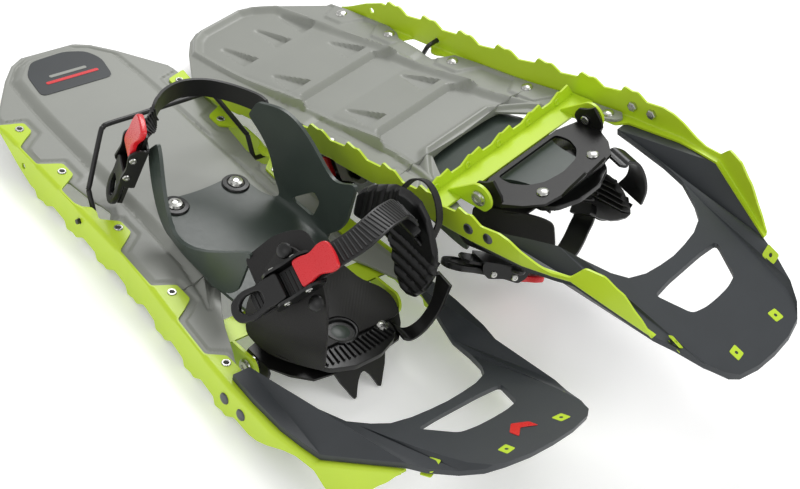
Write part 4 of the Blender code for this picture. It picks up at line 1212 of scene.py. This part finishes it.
# ---- Crampon and toe plate ---------------------------------------------------------------------
@dataclass
class ToeWorks:
    """Toe crampon, the ribbed toe plate over it and their rivets."""

    shoe: Shoe
    top: float = -6.8              # top of the crampon's plate
    cheek_at: float = 61.4         # outer face of its cheeks
    plate: float = 2.2             # its steel
    base: float = -2.7             # underside of the toe plate
    thick: float = 4.5             # thickness of the toe plate
    rivet: Pair = (419.5, 30.2)
    bend_at: float = 433.0         # where the front comb turns down
    comb_lean: float = 14.2        # how far forward its tips reach

    def build(self) -> None:
        """Build the crampon and toe plate."""
        self.crampon()
        self.toe_plate()
        shoe = self.shoe
        x, v = self.rivet
        heads = [(x, way * v, self.base + self.thick + GAP) for way in (1, -1)]
        shoe.fasteners("toe_rivets", DOME, heads, [(0, 0, 1)] * 2, ZINC, "binding",
                       ["toe_rivet_outer", "toe_rivet_inner"])
        tails = [(x, way * v, self.top - self.plate - GAP) for way in (1, -1)]
        shoe.fasteners("toe_rivet_tails", DOME, tails, [(0, 0, -1)] * 2, ZINC, "binding")

    def crampon(self) -> None:
        """Windowed plate with cheeks, claws at the pivots and two front teeth."""
        shoe, top, cheek_at = self.shoe, self.top, self.cheek_at
        plate = mirrored([(375, 40), (381, cheek_at), (404, cheek_at), (418, 52), (430, 40), (433, 24)])
        window = rounded(mirrored([(379, 0), (379, 35), (392, 36), (404, 30), (412, 19), (415, 0)]), 4.0)
        points = [(x, y, top) for x, y in [*plate, *window]]
        faces = flat_faces(plate, [window])
        for way in (1, -1):
            cheek = [(381, top), (404, top), (406, -12), (405.5, -17), (402.5, -22), (398.5, -RAIL_DEPTH),
                     (395, -26.2), (391, -24), (383, -21.8), (380, -18), (378.5, -14)]
            start = len(points)
            points += [(x, way * cheek_at, z) for x, z in cheek]
            faces.append(tuple(range(start, start + len(cheek))))
        start = len(points)
        comb = [(-24, 0), (-20.5, 0.4), (-17.5, 0.62), (-14.5, 0.86), (-12.4, 1.0), (-10.6, 0.97), (-8, 0.72),
                (-5.5, 0.52), (-2.5, 0.37), (0, 0.33), (2.5, 0.37), (5.5, 0.52), (8, 0.72), (10.6, 0.97),
                (12.4, 1.0), (14.5, 0.86), (17.5, 0.62), (20.5, 0.4), (24, 0)]
        drop = RAIL_DEPTH + top - 1.5
        points += [(self.bend_at + self.comb_lean * t, y, top - drop * t) for y, t in comb]
        faces.append(tuple(range(start, start + len(comb))))
        item = shoe.block("crampon", points, faces, upward=True)
        bore = shoe.block("bore", *prism(disc(PIVOT[0], PIVOT[2], 4.3, 20), -80, 80, along=Axis.Y))
        shoe.finish(item, CRAMPON, "binding", ["crampon"], wall=self.plate, offset=-0.999, cuts=[bore],
                    bevel=0.35)

    def toe_plate(self) -> None:
        """Pad with a round window, comb ribs along its front and a lens of the sole."""
        shoe = self.shoe
        shape = rounded(mirrored([(393, 0), (393, 30), (398, 38), (424, 38), (434, 30), (441, 12), (441, 0)]), 2.5)
        hole = shoe.block("hole", *prism(disc(408, 0, 11, 32), self.base - 3, self.base + self.thick + 3))
        item = shoe.block("toe_plate", *prism(shape, self.base, self.base + self.thick))
        shoe.finish(item, BLACK, "binding", ["toe_plate"], cuts=[hole], bevel=0.7)
        level = self.base + self.thick
        ring = [(10.6, 0.0), (13.6, 0.0), (13.4, 1.5), (12.4, 2.2), (11.2, 1.9), (10.6, 0.9), (10.6, 0.0)]
        shoe.fasteners("toe_window_ring", ring, [(408, 0, level - 0.2)], [(0, 0, 1)], BLACK, "binding", sides=40)
        lens = [(0.0, 0.0), (10.2, 0.0), (10.2, 0.8), (7.5, 1.9), (4.0, 2.6), (0.0, 2.9)]
        shoe.fasteners("toe_lens", lens, [(408, 0, level - 2.2)], [(0, 0, 1)], URETHANE, "binding", sides=40)
        path = [(427.5 - 0.02 * abs(y) ** 1.55, y, level + 0.2) for y in np.linspace(-33, 33, 24)]
        shoe.ribs("toe_comb", path, [(0, 0, 1)] * len(path), BLACK, "binding", 4.2, (13.0, 2.0, 3.4))


# ---- Harness -----------------------------------------------------------------------------------
@dataclass
class Harness:
    """Urethane harness: a sole with a wall up each side of the foot and a tip at each heel side."""

    shoe: Shoe
    thick: float = 3.0
    low: float = PANEL_TOP + 0.9   # underside of the sole
    bolt: Pair = (241.0, 28.2)
    rear_curve: Pair = (5.0, 2.0)  # how far the sole's first two rows bow forward between the bolts

    def build(self) -> None:
        """Build the harness, its washers and bolts."""
        shoe, top = self.shoe, self.low + self.thick
        side = [(229, 36, top), (243, 39.5, top), (258, 39, top), (275, 50, top), (298, 53, top), (320, 53, top),
                (340, 50, 5.5), (362, 44, 1.0), (376, 34, -0.9), (386, 26, -3.1), (430, 22, -3.1)]
        shares = (1.0, 0.8, 0.5, 0.0, -0.5, -0.8, -1.0)
        points: list[Point] = []
        for k, (x, v, z) in enumerate(side):
            for s in shares:
                bow = self.rear_curve[k] * (1 - s * s) if k < len(self.rear_curve) else 0.0
                points.append((x + bow, v * s, z))
        faces = grid_faces(len(side), len(shares))
        buckle = [((352, 51.5, 20), (359, 49.5, 64)), ((340, 53, 10), (344, 53, 54)),
                  ((320, 53, top), (322, 57, 38)), ((298, 53, top), (302, 58, 27)),
                  ((275, 50, top), (284, 57, 22)), ((259, 50, 12), (270, 53, 26)),
                  ((245, 49, 28), (256, 50, 42)), ((232, 46, 46), (244, 46, 60)), ((226, 44, 58), (236, 44, 71.4))]
        far = [((344, 50, 36), (347, 49, 76)), ((334, 51, 17), (336, 51, 68)), ((320, 53, top), (321, 52, 57)),
               ((298, 53, top), (303, 52, 68)), ((275, 50, top), (283, 50, 82)), ((258, 50, 18), (264, 48, 87)),
               ((254, 49, 36), (252, 45, 85)), ((240, 46, 52), (242, 44, 81)), ((226, 43, 60), (234, 43, 78))]
        for way, wall in ((1, buckle), (-1, far)):
            start = len(points)
            for low, high in wall:
                points += [tuple(a + (b - a) * t for a, b in zip((low[0], way * low[1], low[2]),
                                                                (high[0], way * high[1], high[2])))
                           for t in (0.0, 0.25, 0.5, 0.75, 1.0)]
            faces += grid_faces(len(wall), 5, start)
        item = shoe.block("harness", shoe.across(points), faces, upward=True)
        window, around = prism(rounded([(281, 14), (303, 36), (311, 31), (306, 13)], 4.0), -70, -35,
                               along=Axis.Y)
        hole = shoe.block("hole", shoe.across(window), around)
        shoe.finish(item, URETHANE, "binding", ["harness"], wall=self.thick, offset=-0.999, cuts=[hole],
                    bevel=0.6, smooth=2, first=True, angle=40.0)
        x, v = self.bolt
        spots = [(x, way * v, top - 0.1) for way in (1, -1)]
        shoe.fasteners("heel_washers", WASHER, spots, [(0, 0, 1)] * 2, BLACK, "binding", sides=32)
        heads = [(x, way * v, top + 1.5) for way in (1, -1)]
        shoe.fasteners("heel_bolts", HEEL_HEAD, heads, [(0, 0, 1)] * 2, ZINC, "binding",
                       ["heel_bolt_outer", "heel_bolt_inner"], sides=28)


# ---- Buckles and straps ------------------------------------------------------------------------
@dataclass
class Buckle:
    """Ratchet buckle: channel body, oval pull lever, red release and their pins."""

    shoe: Shoe
    frame: Frame
    prefix: str
    reach: float                   # from the middle to the lever's tip
    half: float = 21.0             # half the body's length
    side: float = 13.0             # half its width
    pin_at: float = 9.0            # each pin's distance from the middle
    pin_high: float = 9.0          # and its height

    def solid(self, name: str, made: tuple[Points, Faces]) -> bpy.types.Object:
        """Block of a solid made in binding points."""
        return self.shoe.block(name, self.shoe.across(made[0]), made[1])

    def build(self) -> None:
        """Build body, lever, release and pins."""
        shoe, frame, half = self.shoe, self.frame, self.half
        plate = rounded([(-half, -self.side), (half, -self.side), (half, self.side), (-half, self.side)], 3.0)
        body = self.solid(f"{self.prefix}_buckle", frame.slab(plate, 0.0, 1.6))
        cheek = rounded([(-half + 1, 1.0), (half - 1, 1.0), (half - 2, 8), (self.pin_at + 4, 13.4), (0, 11.4),
                         (-self.pin_at - 4, 13.4), (-half + 2, 8)], 2.4)
        parts = []
        for way in (1, -1):
            low, high = sorted((way * (self.side - 2.0), way * (self.side - 0.05)))
            parts.append(self.solid("cheek", frame.prism(cheek, low, high)))
        join(body, parts)
        shoe.finish(body, BLACK, "binding", [f"{self.prefix}_buckle"], bevel=0.35)
        self.lever()
        self.release()
        self.pins()

    def lever(self) -> None:
        """Oval pull lever with a finger hole."""
        r, inner = self.reach, self.side - 2.5
        grip = rounded([(-6.6, -inner), (-6.6, inner), (-14, inner), (-22, 9.5), (13 - r, 11.5), (3 - r, 8),
                        (-r, 0), (3 - r, -8), (13 - r, -11.5), (-22, -9.5), (-14, -inner)], 4.0, 4)
        hole = rounded([(-22, -5.5), (-22, 5.5), (13 - r, 7.4), (5.5 - r, 0), (13 - r, -7.4)], 5.0, 5)
        cut = self.solid("hole", self.frame.slab(hole, 2, 18))
        item = self.solid(f"{self.prefix}_lever", self.frame.slab(grip, 6.6, 11.8))
        self.shoe.finish(item, BLACK, f"{self.prefix}_lever_body", [f"{self.prefix}_lever"], cuts=[cut],
                         bevel=1.3, angle=45.0)

    def release(self) -> None:
        """Waisted red paddle with a rounded end."""
        inner = self.side - 2.5
        outline = rounded([(6.6, -inner), (6.6, inner), (14, 10.2), (21, 8.0), (30, 11.6), (36, 10.5), (37.5, 0),
                           (36, -10.5), (30, -11.6), (21, -8.0), (14, -10.2)], 4.5, 4)
        points, faces = prism(outline, 6.6, 11.6)
        bent = [self.frame.at(a, b, c + 1.4 * math.sin((a - 7) / 30 * math.pi * 1.4)) for a, b, c in points]
        item = self.solid(f"{self.prefix}_release", (bent, faces))
        self.shoe.finish(item, RED, f"{self.prefix}_release_body", [f"{self.prefix}_release"], bevel=1.2,
                         angle=45.0)

    def pins(self) -> None:
        """Bright pin ends on both cheeks."""
        spots, ups = [], []
        for a in (-self.pin_at, self.pin_at):
            for way in (1, -1):
                spots.append(self.frame.at(a, way * (self.side - 0.2), self.pin_high))
                ups.append(tuple(way * self.frame.b))
        head = [(0.0, -0.4), (2.7, -0.4), (2.8, 0.5), (2.3, 1.2), (1.2, 1.3), (0.9, 0.8), (0.0, 0.8)]
        self.shoe.fasteners(f"{self.prefix}_buckle_pins", head, self.shoe.across(spots), self.shoe.across(ups),
                            ZINC, "binding")


@dataclass
class Straps:
    """Both ladder straps, with their cross ridges."""

    shoe: Shoe
    lift: float = 3.3              # height over the buckle's plate
    thick: float = 2.4
    spans: int = 6                 # steps between two points of a route
    toe_straight: int = 25         # toe strap points held in line with its buckle
    heel_straight: int = 31        # heel strap points held in line with its buckle
    twist: int = 12                # heel strap points over which it turns

    def build(self) -> None:
        """Build the toe and heel straps."""
        shoe, fit = self.shoe, self.shoe.fit
        ends = [fit.toe.at(a, 0, self.lift) for a in (-34, -22, 0, 22, 28)]
        route = smooth_path([*ends, *fit.over_foot], self.spans)
        rest = len(route) - self.toe_straight
        cross = [fit.toe.b] * self.toe_straight + [Vector((1.0, 0.0, -0.1))] * rest
        self.strap("toe_strap", route, cross, 20.0)
        frame = fit.heel
        level = Vector((0.0, 0.0, 1.0))
        along = frame.b if frame.b.z > 0.0 else -frame.b
        ends = [frame.at(a, 0, self.lift) for a in (28, 22, 0, -22, -34, -46)]
        route = smooth_path([*fit.round_heel, *ends], self.spans)
        cross = [level] * (len(route) - self.heel_straight - self.twist)
        cross += [level.lerp(along, (k + 1) / (self.twist + 1)) for k in range(self.twist)]
        cross += [along] * self.heel_straight
        self.strap("heel_strap", route, cross, 16.0)

    def strap(self, name: str, route: Sequence[Vector], cross: Sequence[Vector], width: float) -> None:
        """One strap with a raised ladder on its outer face.

        Args:
            name: piece name, and the node it stands for.
            route: its middle line in binding points.
            cross: the way across it at each point.
            width: its width.
        """
        shoe = self.shoe
        widths = [width * min(1.0, 0.55 + 0.25 * min(k, len(route) - 1 - k)) for k in range(len(route))]
        points, faces = band(route, widths, cross, 3)
        item = shoe.block(name, shoe.across(points), faces)
        shoe.finish(item, STRAP, "binding", [name], wall=self.thick, bevel=0.5, angle=50.0)
        middle = sum(route, Vector()) / len(route)
        middle.z = min(p.z for p in route) - 20.0
        outs = []
        for k, spot in enumerate(route):
            ahead = route[min(k + 1, len(route) - 1)] - route[max(k - 1, 0)]
            out = ahead.cross(cross[k]).normalized()
            outs.append(out if out.dot(spot - middle) > 0 else -out)
        path = [p + o * (self.thick / 2) for p, o in zip(route, outs)][2:-2]
        shoe.ribs(f"{name}_ladder", shoe.across(path), shoe.across(outs[2:-2]), STRAP, "binding", 3.4,
                  (width - 3.6, 1.7, 1.5))


# ---- Soft pieces of the toe --------------------------------------------------------------------
@dataclass
class ToeUpper:
    """Toe wing, apron, flap, instep pad with its keeper, arm and pull loop."""

    shoe: Shoe
    pad_low: float = 22.0          # lowest level of the pad's outline
    pad_bow: Pair = (-50.5, 3.0)   # where the pad stands, and how far its middle bows out
    pad_rim: float = 1.5           # how far its rim draws in
    pad_rib: float = 3.2           # height of its ribs
    pad_grid: tuple[int, int] = (92, 64)

    def build(self) -> None:
        """Build the soft pieces."""
        self.wing()
        self.apron()
        self.flap()
        self.pad()
        self.bracket()
        self.arm()
        self.loop()

    def wing(self) -> None:
        """Coated flap from the toe plate up behind the toe buckle, with two riveted corners."""
        shoe, toe = self.shoe, self.shoe.fit.toe
        low = [(376, 60, 2), (398, 57, -1), (418, 46, 1.5), (436, 38, 6)]
        middle = [(371, 59, 34), (392, 58, 32), (416, 53, 33), (438, 43, 34)]
        high = [tuple(toe.origin - 2.6 * toe.c + a * toe.a + b * toe.b)
                for a, b in ((4, -30), (14, -14), (18, 8), (12, 26))]
        points, rows = [], 9
        for lo, mid, hi in zip(low, middle, high):
            curve = smooth_path([lo, mid, hi], rows // 2)
            points += [tuple(p) for p in curve]
        item = shoe.block("toe_wing", shoe.across(points), grid_faces(4, len(points) // 4))
        shoe.finish(item, FABRIC, "binding", ["toe_wing"], wall=2.6, bevel=0.5, smooth=2, first=True, angle=45.0)
        spots = [toe.at(a, b, 0.2) for a, b in ((2, -23), (6, 21))]
        shoe.fasteners("wing_rivets", [(r * 1.15, z * 1.3) for r, z in DOME], shoe.across(spots),
                       shoe.across([tuple(toe.c)] * 2), BLACK, "binding", sides=24)

    def apron(self) -> None:
        """Coated sheet over the sole behind the toe plate."""
        shoe = self.shoe
        lines = [(353, 43, 7.2), (364, 45.5, 4.6), (375, 47, 3.6), (386, 56, 3.0), (398, 57, 2.6),
                 (407, 55, 2.4), (417, 49, 2.4)]
        points = [(x, half * s, z + 1.4 * (1 - abs(s))) for x, half, z in lines
                  for s in (-1.0, -0.85, -0.4, 0.0, 0.4, 0.85, 1.0)]
        hole = shoe.block("hole", *prism(disc(408, 0, 13.0, 32), -6, 12))
        item = shoe.block("toe_apron", shoe.across(points), grid_faces(len(lines), 7))
        shoe.finish(item, FABRIC, "binding", wall=1.8, offset=0.0, cuts=[hole], bevel=0.4, smooth=1,
                    first=True, angle=45.0)

    def flap(self) -> None:
        """Inner flap that rises behind the toe buckle, with rounded corners."""
        shoe, toe = self.shoe, self.shoe.fit.toe
        shape = rounded([(-31, -38), (-6, -41), (9, -37), (19, -31), (24, -8), (16, 10), (-12, 12), (-30, -8)],
                        5.0)
        points, faces = toe.slab(shape, -6.6, -4.8)
        bowed = [tuple(Vector(p) + toe.c * (-0.004 * (toe.b.dot(Vector(p) - toe.origin)) ** 2)) for p in points]
        shoe.finish(shoe.block("toe_flap", shoe.across(bowed), faces), FABRIC, "binding", bevel=0.4)

    def pad(self) -> None:
        """Instep pad: a rear part with upright ribs, a main part with bulging cross ribs."""
        shoe = self.shoe
        top = [(349, 66), (354, 78), (361, 86), (372, 94), (382, 101), (396, 105), (409, 105), (420, 99),
               (428, 91), (436, 80), (440, 70)]
        low = [(349, 56), (353, 50), (368, 49), (383, 52), (391, 50), (397, 38), (404, 27), (411, 22),
               (418, 22), (426, 26), (434, 38), (440, 58)]
        seam, start, end, ribbed = 386.0, 349.0, 440.0, 67.5
        upright, crosswise = 8.6, 9.5
        rows, columns = self.pad_grid
        points: list[Point] = []
        for r in range(rows):
            x = start + (end - start) * r / (rows - 1)
            lower, upper = read_at(low, x), read_at(top, x)
            for c in range(columns):
                z = lower + (upper - lower) * c / (columns - 1)
                rim = min(1.0, (z - lower) / 5.0, (upper - z) / 5.0, (x - start) / 5.0, (end - x) / 6.0)
                rim = math.sqrt(max(0.0, rim))
                if x < seam:           # upright ribs behind the seam
                    wave = abs(math.sin(math.pi * (x - start) / upright)) ** 0.7
                else:                  # cross ribs before it, up to a smooth brow
                    wave = abs(math.sin(math.pi * (z - 20.0) / crosswise)) ** 0.7 if z < ribbed else 0.75
                wave *= min(1.0, abs(x - seam) / 2.5)
                stand = self.pad_bow[0] - self.pad_bow[1] * math.sin(math.pi * (x - start) / (end - start))
                level = shoe.fit.pad_foot + (z - self.pad_low) * shoe.fit.pad_share
                points.append((x, stand + (self.pad_rim + self.pad_rib * wave) * rim, level))
        item = shoe.block("instep_pad", shoe.across(points), grid_faces(rows, columns))
        if sum(f.normal.dot(shoe.heading((0, shoe.side, 0))) for f in item.data.polygons) < 0:
            item.data.flip_normals()
        shoe.finish(item, BLACK, "binding", ["instep_pad"], wall=4.0, offset=-1.0, angle=70.0,
                    even=False)

    def bracket(self) -> None:
        """Keeper on the pad that the toe strap is fixed under."""
        shoe, end = self.shoe, Vector(self.shoe.fit.over_foot[-1])
        frame = Frame(end + Vector((0, 1.5, -2)), (-0.15, -0.55, -0.8 * shoe.fit.pad_share), (0.1, 1.0, 0.4))
        for k, (a0, a1, half, height) in enumerate(((-4, 6, 13.0, 4.6), (9, 26, 8.0, 3.0))):
            shape = rounded([(a0, -half), (a0, half), (a1, half * 0.85), (a1, -half * 0.85)], 3.0)
            points, faces = frame.slab(shape, -2.0, height)
            shoe.finish(shoe.block(f"strap_keeper_{k}", shoe.across(points), faces), BLACK, "binding",
                        bevel=0.9)
        spots = [frame.at(17, b, 2.4) for b in (-9.5, 9.5)]
        shoe.fasteners("keeper_rivets", DOME, shoe.across(spots), shoe.across([tuple(frame.c)] * 2), BLACK,
                       "binding")

    def arm(self) -> None:
        """Curved arm from the front of the toe plate up to the instep pad."""
        shoe, fit = self.shoe, self.shoe.fit
        route = smooth_path([(425, -41.5, -4.6), (432, -44.5, -3.0), *fit.arm[1:]], 6)
        widths = [fit.arm_width * (1.25 - 0.5 * math.sin(math.pi * k / (len(route) - 1)))
                  for k in range(len(route))]
        points, faces = band(route, widths, [(1.0, 0.25, 0.15)] * len(route), 3)
        item = shoe.block("toe_arm", shoe.across(points), faces)
        shoe.finish(item, BLACK, "binding", ["toe_arm"], wall=2.6, bevel=0.6, angle=50.0)

    def loop(self) -> None:
        """Thin webbing loop over the instep pad."""
        shoe = self.shoe
        route = smooth_path(shoe.fit.loop, 8)
        points, faces = band(route, [7.0] * len(route), [(0.0, 1.0, 0.35)] * len(route), 3)
        item = shoe.block("pull_loop", shoe.across(points), faces)
        shoe.finish(item, TAPE, "binding", ["pull_loop"], wall=1.4, bevel=0.3, angle=50.0)


# ---- Heel lift wire ----------------------------------------------------------------------------
@dataclass
class Bail:
    """Bent wire heel lift, its two feet in the rails."""

    shoe: Shoe
    radius: float = 2.0
    lean: float = math.radians(33.0)

    def build(self) -> None:
        """Sweep the wire along its bends."""
        def spot(t: float, y: float) -> Point:
            """Point at t along the leaning wire and y across the shoe."""
            return (BAIL_PIVOT[0] - t * math.sin(self.lean), y, BAIL_PIVOT[2] + t * math.cos(self.lean))

        half = [spot(0, 90.0), spot(0, 77.5), spot(1, 75.3), spot(3.5, 74.3), spot(20, 73.8), spot(24, 71.8),
                spot(58, 53.0), spot(62, 49.5), spot(63.5, 45.0), spot(63.5, 22.0)]
        route = smooth_path(half + [spot(63.5, 0)] + [(x, -y, z) for x, y, z in reversed(half)], 5)
        curve = bpy.data.curves.new("heel_bail", "CURVE")
        curve.dimensions = "3D"
        curve.bevel_depth = self.radius * UNIT
        curve.bevel_resolution = 6
        curve.use_fill_caps = True
        spline = curve.splines.new("POLY")
        spline.points.add(len(route) - 1)
        for knot, p in zip(spline.points, route):
            knot.co = (*self.shoe.world(p), 1.0)
        line = put_in("wire", curve)
        item = put_in(f"{self.shoe.name}_heel_bail", final_mesh(line))
        bpy.data.objects.remove(line)
        shade(item, 50.0)
        self.shoe.hand_over(item, WIRE, "heel_bail_body", ["heel_bail"])


# ---- The pair ----------------------------------------------------------------------------------
STANDING_FIT = Fit(
    toe=Frame((402, 48, 69), (0.37, -0.60, 0.71), (0.15, 0.79, 0.59)),
    heel=Frame((222, 51.5, 50), (0.20, -0.10, 0.97), (-0.45, 1.0, 0.0)),
    over_foot=[(418, 16, 103), (418, 4, 109), (415, -10, 111.5), (411, -24, 109), (407, -34, 104),
               (409, -40, 99), (411, -43, 94)],
    round_heel=[(240, -50.4, 71), (226, -50.4, 70), (203, -42, 67), (189, -28, 67), (184, -10, 68),
                (190, 9, 71), (203, 26, 76), (217, 39, 78)],
    arm=[(435, -42, -1), (438, -47, 5), (441, -52, 15), (443, -56, 30), (443, -57.3, 44), (443, -57.3, 56)],
    arm_width=16.0,
    loop=[(384, -58, 96), (390, -61, 108), (402, -62, 114), (414, -62, 108), (422, -61, 94),
          (421, -60, 78), (418, -60.5, 66)],
    pad_foot=22.0,
    pad_share=1.0)
FLATTENED_FIT = Fit(
    toe=Frame((391, 50, 56), (0.50, -0.75, 0.43), (0.0, 0.5, 0.87)),
    heel=Frame((226, 53.5, 32), (-0.93, -0.10, 0.36), (-0.1, 1.0, 0.0)),
    over_foot=[(409, 15, 76), (409, 2, 78), (407, -11, 78), (404, -23, 76), (401, -33, 73),
               (400, -40, 69), (400, -43.5, 63)],
    round_heel=[(240, -50.4, 66), (226, -50.4, 63), (204, -45, 56), (187, -30, 53), (179, -10, 52),
                (179, 9, 51), (183, 28, 48), (191, 43, 45)],
    arm=[(431, -42, -2), (434, -49, -4), (438, -56, 2), (440, -60, 14), (439, -60.5, 27), (433, -59, 40)],
    arm_width=24.0,
    loop=[(384, -61, 58), (389, -62, 71), (398, -62, 79), (410, -62, 75), (418, -62, 64), (416, -61.5, 52)],
    pad_foot=24.0,
    pad_share=0.58)


@dataclass
class Placing:
    """Where the two shoes stand."""

    centre: Pair = (326.2, 92.8)
    turned_at: Point = (27.3, 152.7, -5.3)
    turned_angles: Point = (4.56, -13.01, 189.06)    # yaw, pitch and roll in degrees

    def matrices(self) -> tuple[Matrix, Matrix]:
        """Row-frame matrices of the standing shoe and of the turned-over one."""
        stand = Matrix.Translation(Vector((-self.centre[0], -self.centre[1], RAIL_DEPTH)) * UNIT)
        yaw, pitch, roll = (math.radians(angle) for angle in self.turned_angles)
        turn = Matrix.Rotation(yaw, 4, "Z") @ Matrix.Rotation(pitch, 4, "Y") @ Matrix.Rotation(roll, 4, "X")
        return stand, stand @ Matrix.Translation(Vector(self.turned_at) * UNIT) @ turn


@dataclass
class Studio:
    """Pale floor, soft light and the camera."""

    spot: Point = (0.6797, -0.7489, 0.8654)
    angles: Point = (51.789, -13.598, 45.016)
    lens: float = 72.234           # millimetres on a 36 mm sensor
    shift: Pair = (-0.18644, -0.05594)
    sky_strength: float = 0.62
    floor_glow: float = 0.22       # lifts the paper to white
    floor_at: float = -0.0006      # just under the tooth tips
    # Each lamp's name, place, watts and size in metres; all look at the origin.
    lamps: tuple[tuple[str, Point, float, float], ...] = (
        ("key", (-0.9, 0.9, 1.6), 20.0, 1.0), ("side", (1.3, 0.5, 1.3), 6.0, 0.9),
        ("front", (0.3, -1.8, 1.2), 4.0, 1.2))

    def build(self) -> None:
        """Build floor, lights, sky and camera."""
        mesh = bpy.data.meshes.new("floor")
        mesh.from_pydata([(-6, -6, 0), (6, -6, 0), (6, 6, 0), (-6, 6, 0)], [], [(0, 1, 2, 3)])
        floor = put_in("floor", mesh)
        mesh.materials.append(FLOOR.build())
        floor.location.z = self.floor_at
        paper = mesh.materials[0].node_tree.nodes["Principled BSDF"]
        paper.inputs["Emission Color"].default_value = (1.0, 1.0, 1.0, 1.0)
        paper.inputs["Emission Strength"].default_value = self.floor_glow
        world = bpy.data.worlds.new("studio")
        world.use_nodes = True
        sky = world.node_tree.nodes["Background"]
        sky.inputs["Color"].default_value = (1.0, 1.0, 1.0, 1.0)
        sky.inputs["Strength"].default_value = self.sky_strength
        bpy.context.scene.world = world
        for name, spot, power, size in self.lamps:
            lamp = bpy.data.lights.new(name, "AREA")
            lamp.energy = power
            lamp.size = size
            item = put_in(name, lamp)
            item.location = spot
            item.rotation_euler = (-Vector(spot)).to_track_quat("-Z", "Y").to_euler()
        lens = bpy.data.cameras.new("camera")
        lens.lens = self.lens
        lens.sensor_width = 36.0
        lens.shift_x, lens.shift_y = self.shift
        lens.clip_start, lens.clip_end = 0.05, 30.0
        camera = put_in("camera", lens)
        camera.location = self.spot
        camera.rotation_euler = [math.radians(a) for a in self.angles]
        bpy.context.scene.camera = camera
        bpy.context.scene.view_settings.view_transform = "Standard"


def build_shoe(shoe: Shoe) -> None:
    """Build every sub-assembly of one shoe and report its pieces.

    Args:
        shoe: the shoe.
    """
    parts: Sequence[Callable[[], None]] = (
        Deck(shoe).build, Rail(shoe).build, Nose(shoe).build, Crossbar(shoe).build, ToeWorks(shoe).build,
        Harness(shoe).build, Buckle(shoe, shoe.fit.toe, "toe", 49.0).build,
        Buckle(shoe, shoe.fit.heel, "heel", 48.0).build, Straps(shoe).build, ToeUpper(shoe).build,
        Bail(shoe).build)
    for build in parts:
        build()
    for item in shoe.made:
        LOG.info("%s: %d faces", item.name, len(item.data.polygons))


def main() -> None:
    """Load the frame, build the looks and note the sizes."""
    logging.basicConfig(level=logging.INFO, format="%(name)s %(message)s")
    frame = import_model()
    LOG.info("frame with %d nodes", len(frame["nodes"]))
    Studio().build()
    stand, turned_over = Placing().matrices()
    build_shoe(Shoe("right", stand, -1, STANDING_FIT))
    build_shoe(Shoe("left", turned_over, 1, FLATTENED_FIT))


if __name__ == "__main__":
    main()
